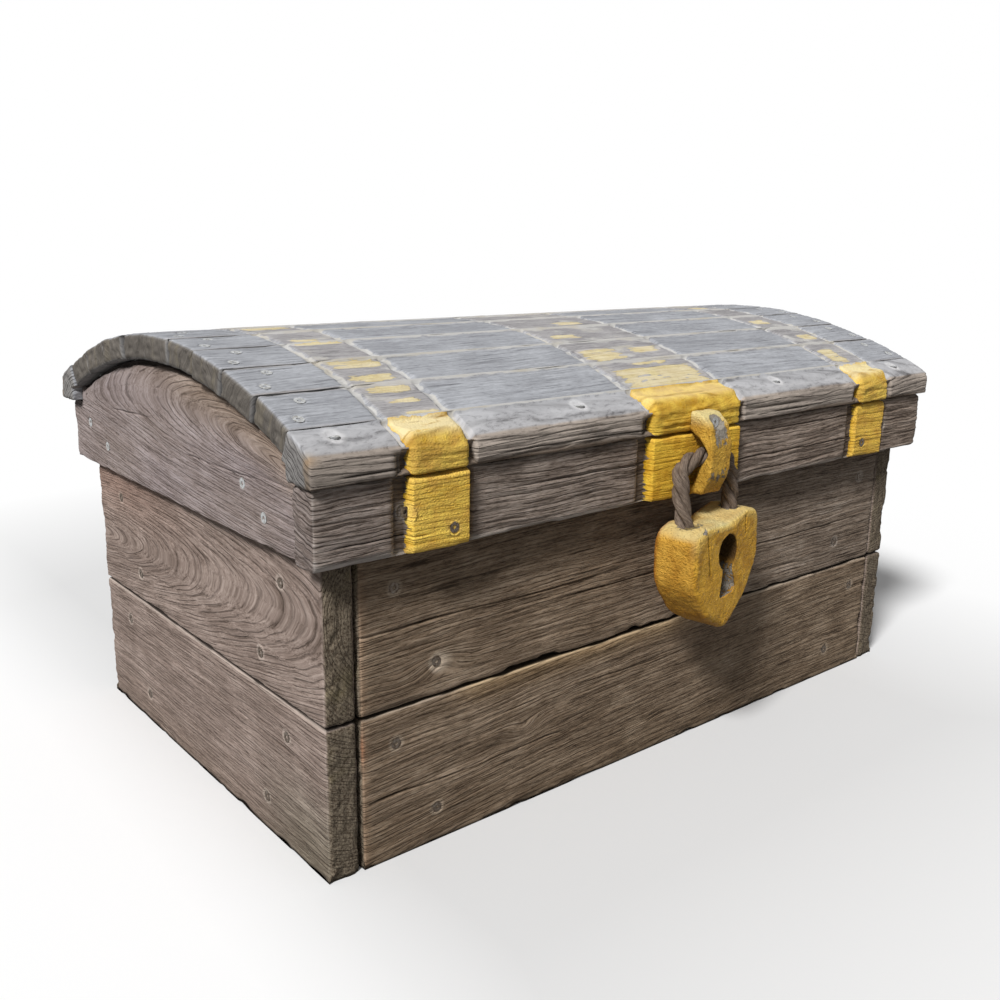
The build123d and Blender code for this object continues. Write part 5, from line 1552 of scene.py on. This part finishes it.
for name, node in nodes.items():
    if name in ("wall_screws", "hinge_wall_screws", "rail_screws"):
        material = dull_steel
    elif name.endswith(("_screws", "_screw")):
        material = zinc
    elif name.endswith("hinge_pin"):
        material = bright_steel
    elif "hinge" in name:
        material = black_iron
    elif name.endswith("_post"):
        material = sawn_along[2]
    elif name.startswith("floor_board") or name in ("left_floor_ledger", "right_floor_ledger"):
        material = sawn_along[1]
    elif name.endswith(("_end_floor_board", "_ledger", "_bearer", "_block")):
        material = sawn_along[0]
    else:
        material = None
    if material:
        node.data.materials.clear()
        node.data.materials.append(material)


# Floor, backdrop and light

FLOOR_HALF = 9.0
SUN_TRAVEL = Vector((2.3, 1.0, -2.5))
SUN_STRENGTH = 3.5
SUN_ANGLE = math.radians(12)
SKY_STRENGTH = 0.25


def make_floor():
    """A level floor. The camera sees it pale, with a painted grey shade in front of the chest, and passing
    into plain white some way from the chest. What lights the chest sees it grey, so that it throws little
    light back."""
    corners = [(-FLOOR_HALF, -FLOOR_HALF, 0), (FLOOR_HALF, -FLOOR_HALF, 0), (FLOOR_HALF, FLOOR_HALF, 0),
               (-FLOOR_HALF, FLOOR_HALF, 0)]
    mesh = bpy.data.meshes.new("floor")
    mesh.from_pydata(corners, [], [(0, 1, 2, 3)])
    floor = bpy.data.objects.new("floor", mesh)
    bpy.context.scene.collection.objects.link(floor)
    material, tree, place = new_material("matt_white_floor")
    paint = tree.nodes["Principled BSDF"]
    far = add(tree, "VectorMath", place, operation="LENGTH")
    seen = seen_directly(tree)
    apart = add(tree, "SeparateXYZ", place).node.outputs
    left_of = add(tree, "MapRange", apart[0], -0.62, -1.0, 0.0, 0.85)
    share = add(tree, "Math",
                add(tree, "Math", add(tree, "MapRange", far, 1.1, 1.9), left_of, operation="MAXIMUM"), seen,
                operation="MULTIPLY")
    # Painted shade on the floor: light grey in front of the chest, near white beyond its ends and further
    # forward.
    ends = add(tree, "Math", add(tree, "MapRange", apart[0], -0.50, -0.75),
               add(tree, "MapRange", apart[0], 0.45, 1.10), operation="MAXIMUM")
    beside = add(tree, "Math", ends, add(tree, "MapRange", apart[1], -0.60, -1.30), operation="MAXIMUM")
    shown = add(tree, "Mix", beside, colour("#E0E0E0"), colour("#FBFBFB"), data_type="RGBA")
    feed(tree, [paint.inputs[key] for key in ("Base Color", "Roughness", "Specular IOR Level")],
         (add(tree, "Mix", seen, colour("#707070"), shown, data_type="RGBA"), 0.95, 0.0))
    white = add(tree, "Emission", (1, 1, 1, 1), 1.0)
    mixed = add(tree, "MixShader", share, paint.outputs[0], white)
    tree.links.new(mixed, tree.nodes["Material Output"].inputs["Surface"])
    mesh.materials.append(material)


def make_light():
    """A broad sky that shows plain white, and one soft key light from the upper left."""
    world = bpy.data.worlds.new("studio")
    world.use_nodes = True
    tree = world.node_tree
    seen = seen_directly(tree)
    sky = tree.nodes["Background"].inputs
    feed(tree, (sky["Color"], sky["Strength"]),
         ((1, 1, 1, 1), add(tree, "MapRange", seen, 0.0, 1.0, SKY_STRENGTH, 1.0)))
    bpy.context.scene.world = world
    key = bpy.data.lights.new("key", "SUN")
    key.energy = SUN_STRENGTH
    key.angle = SUN_ANGLE
    lamp = bpy.data.objects.new("key", key)
    lamp.rotation_mode = "QUATERNION"
    lamp.rotation_quaternion = SUN_TRAVEL.to_track_quat("-Z", "Y")
    bpy.context.scene.collection.objects.link(lamp)


make_floor()
make_light()
bpy.context.scene.view_settings.view_transform = "Standard"
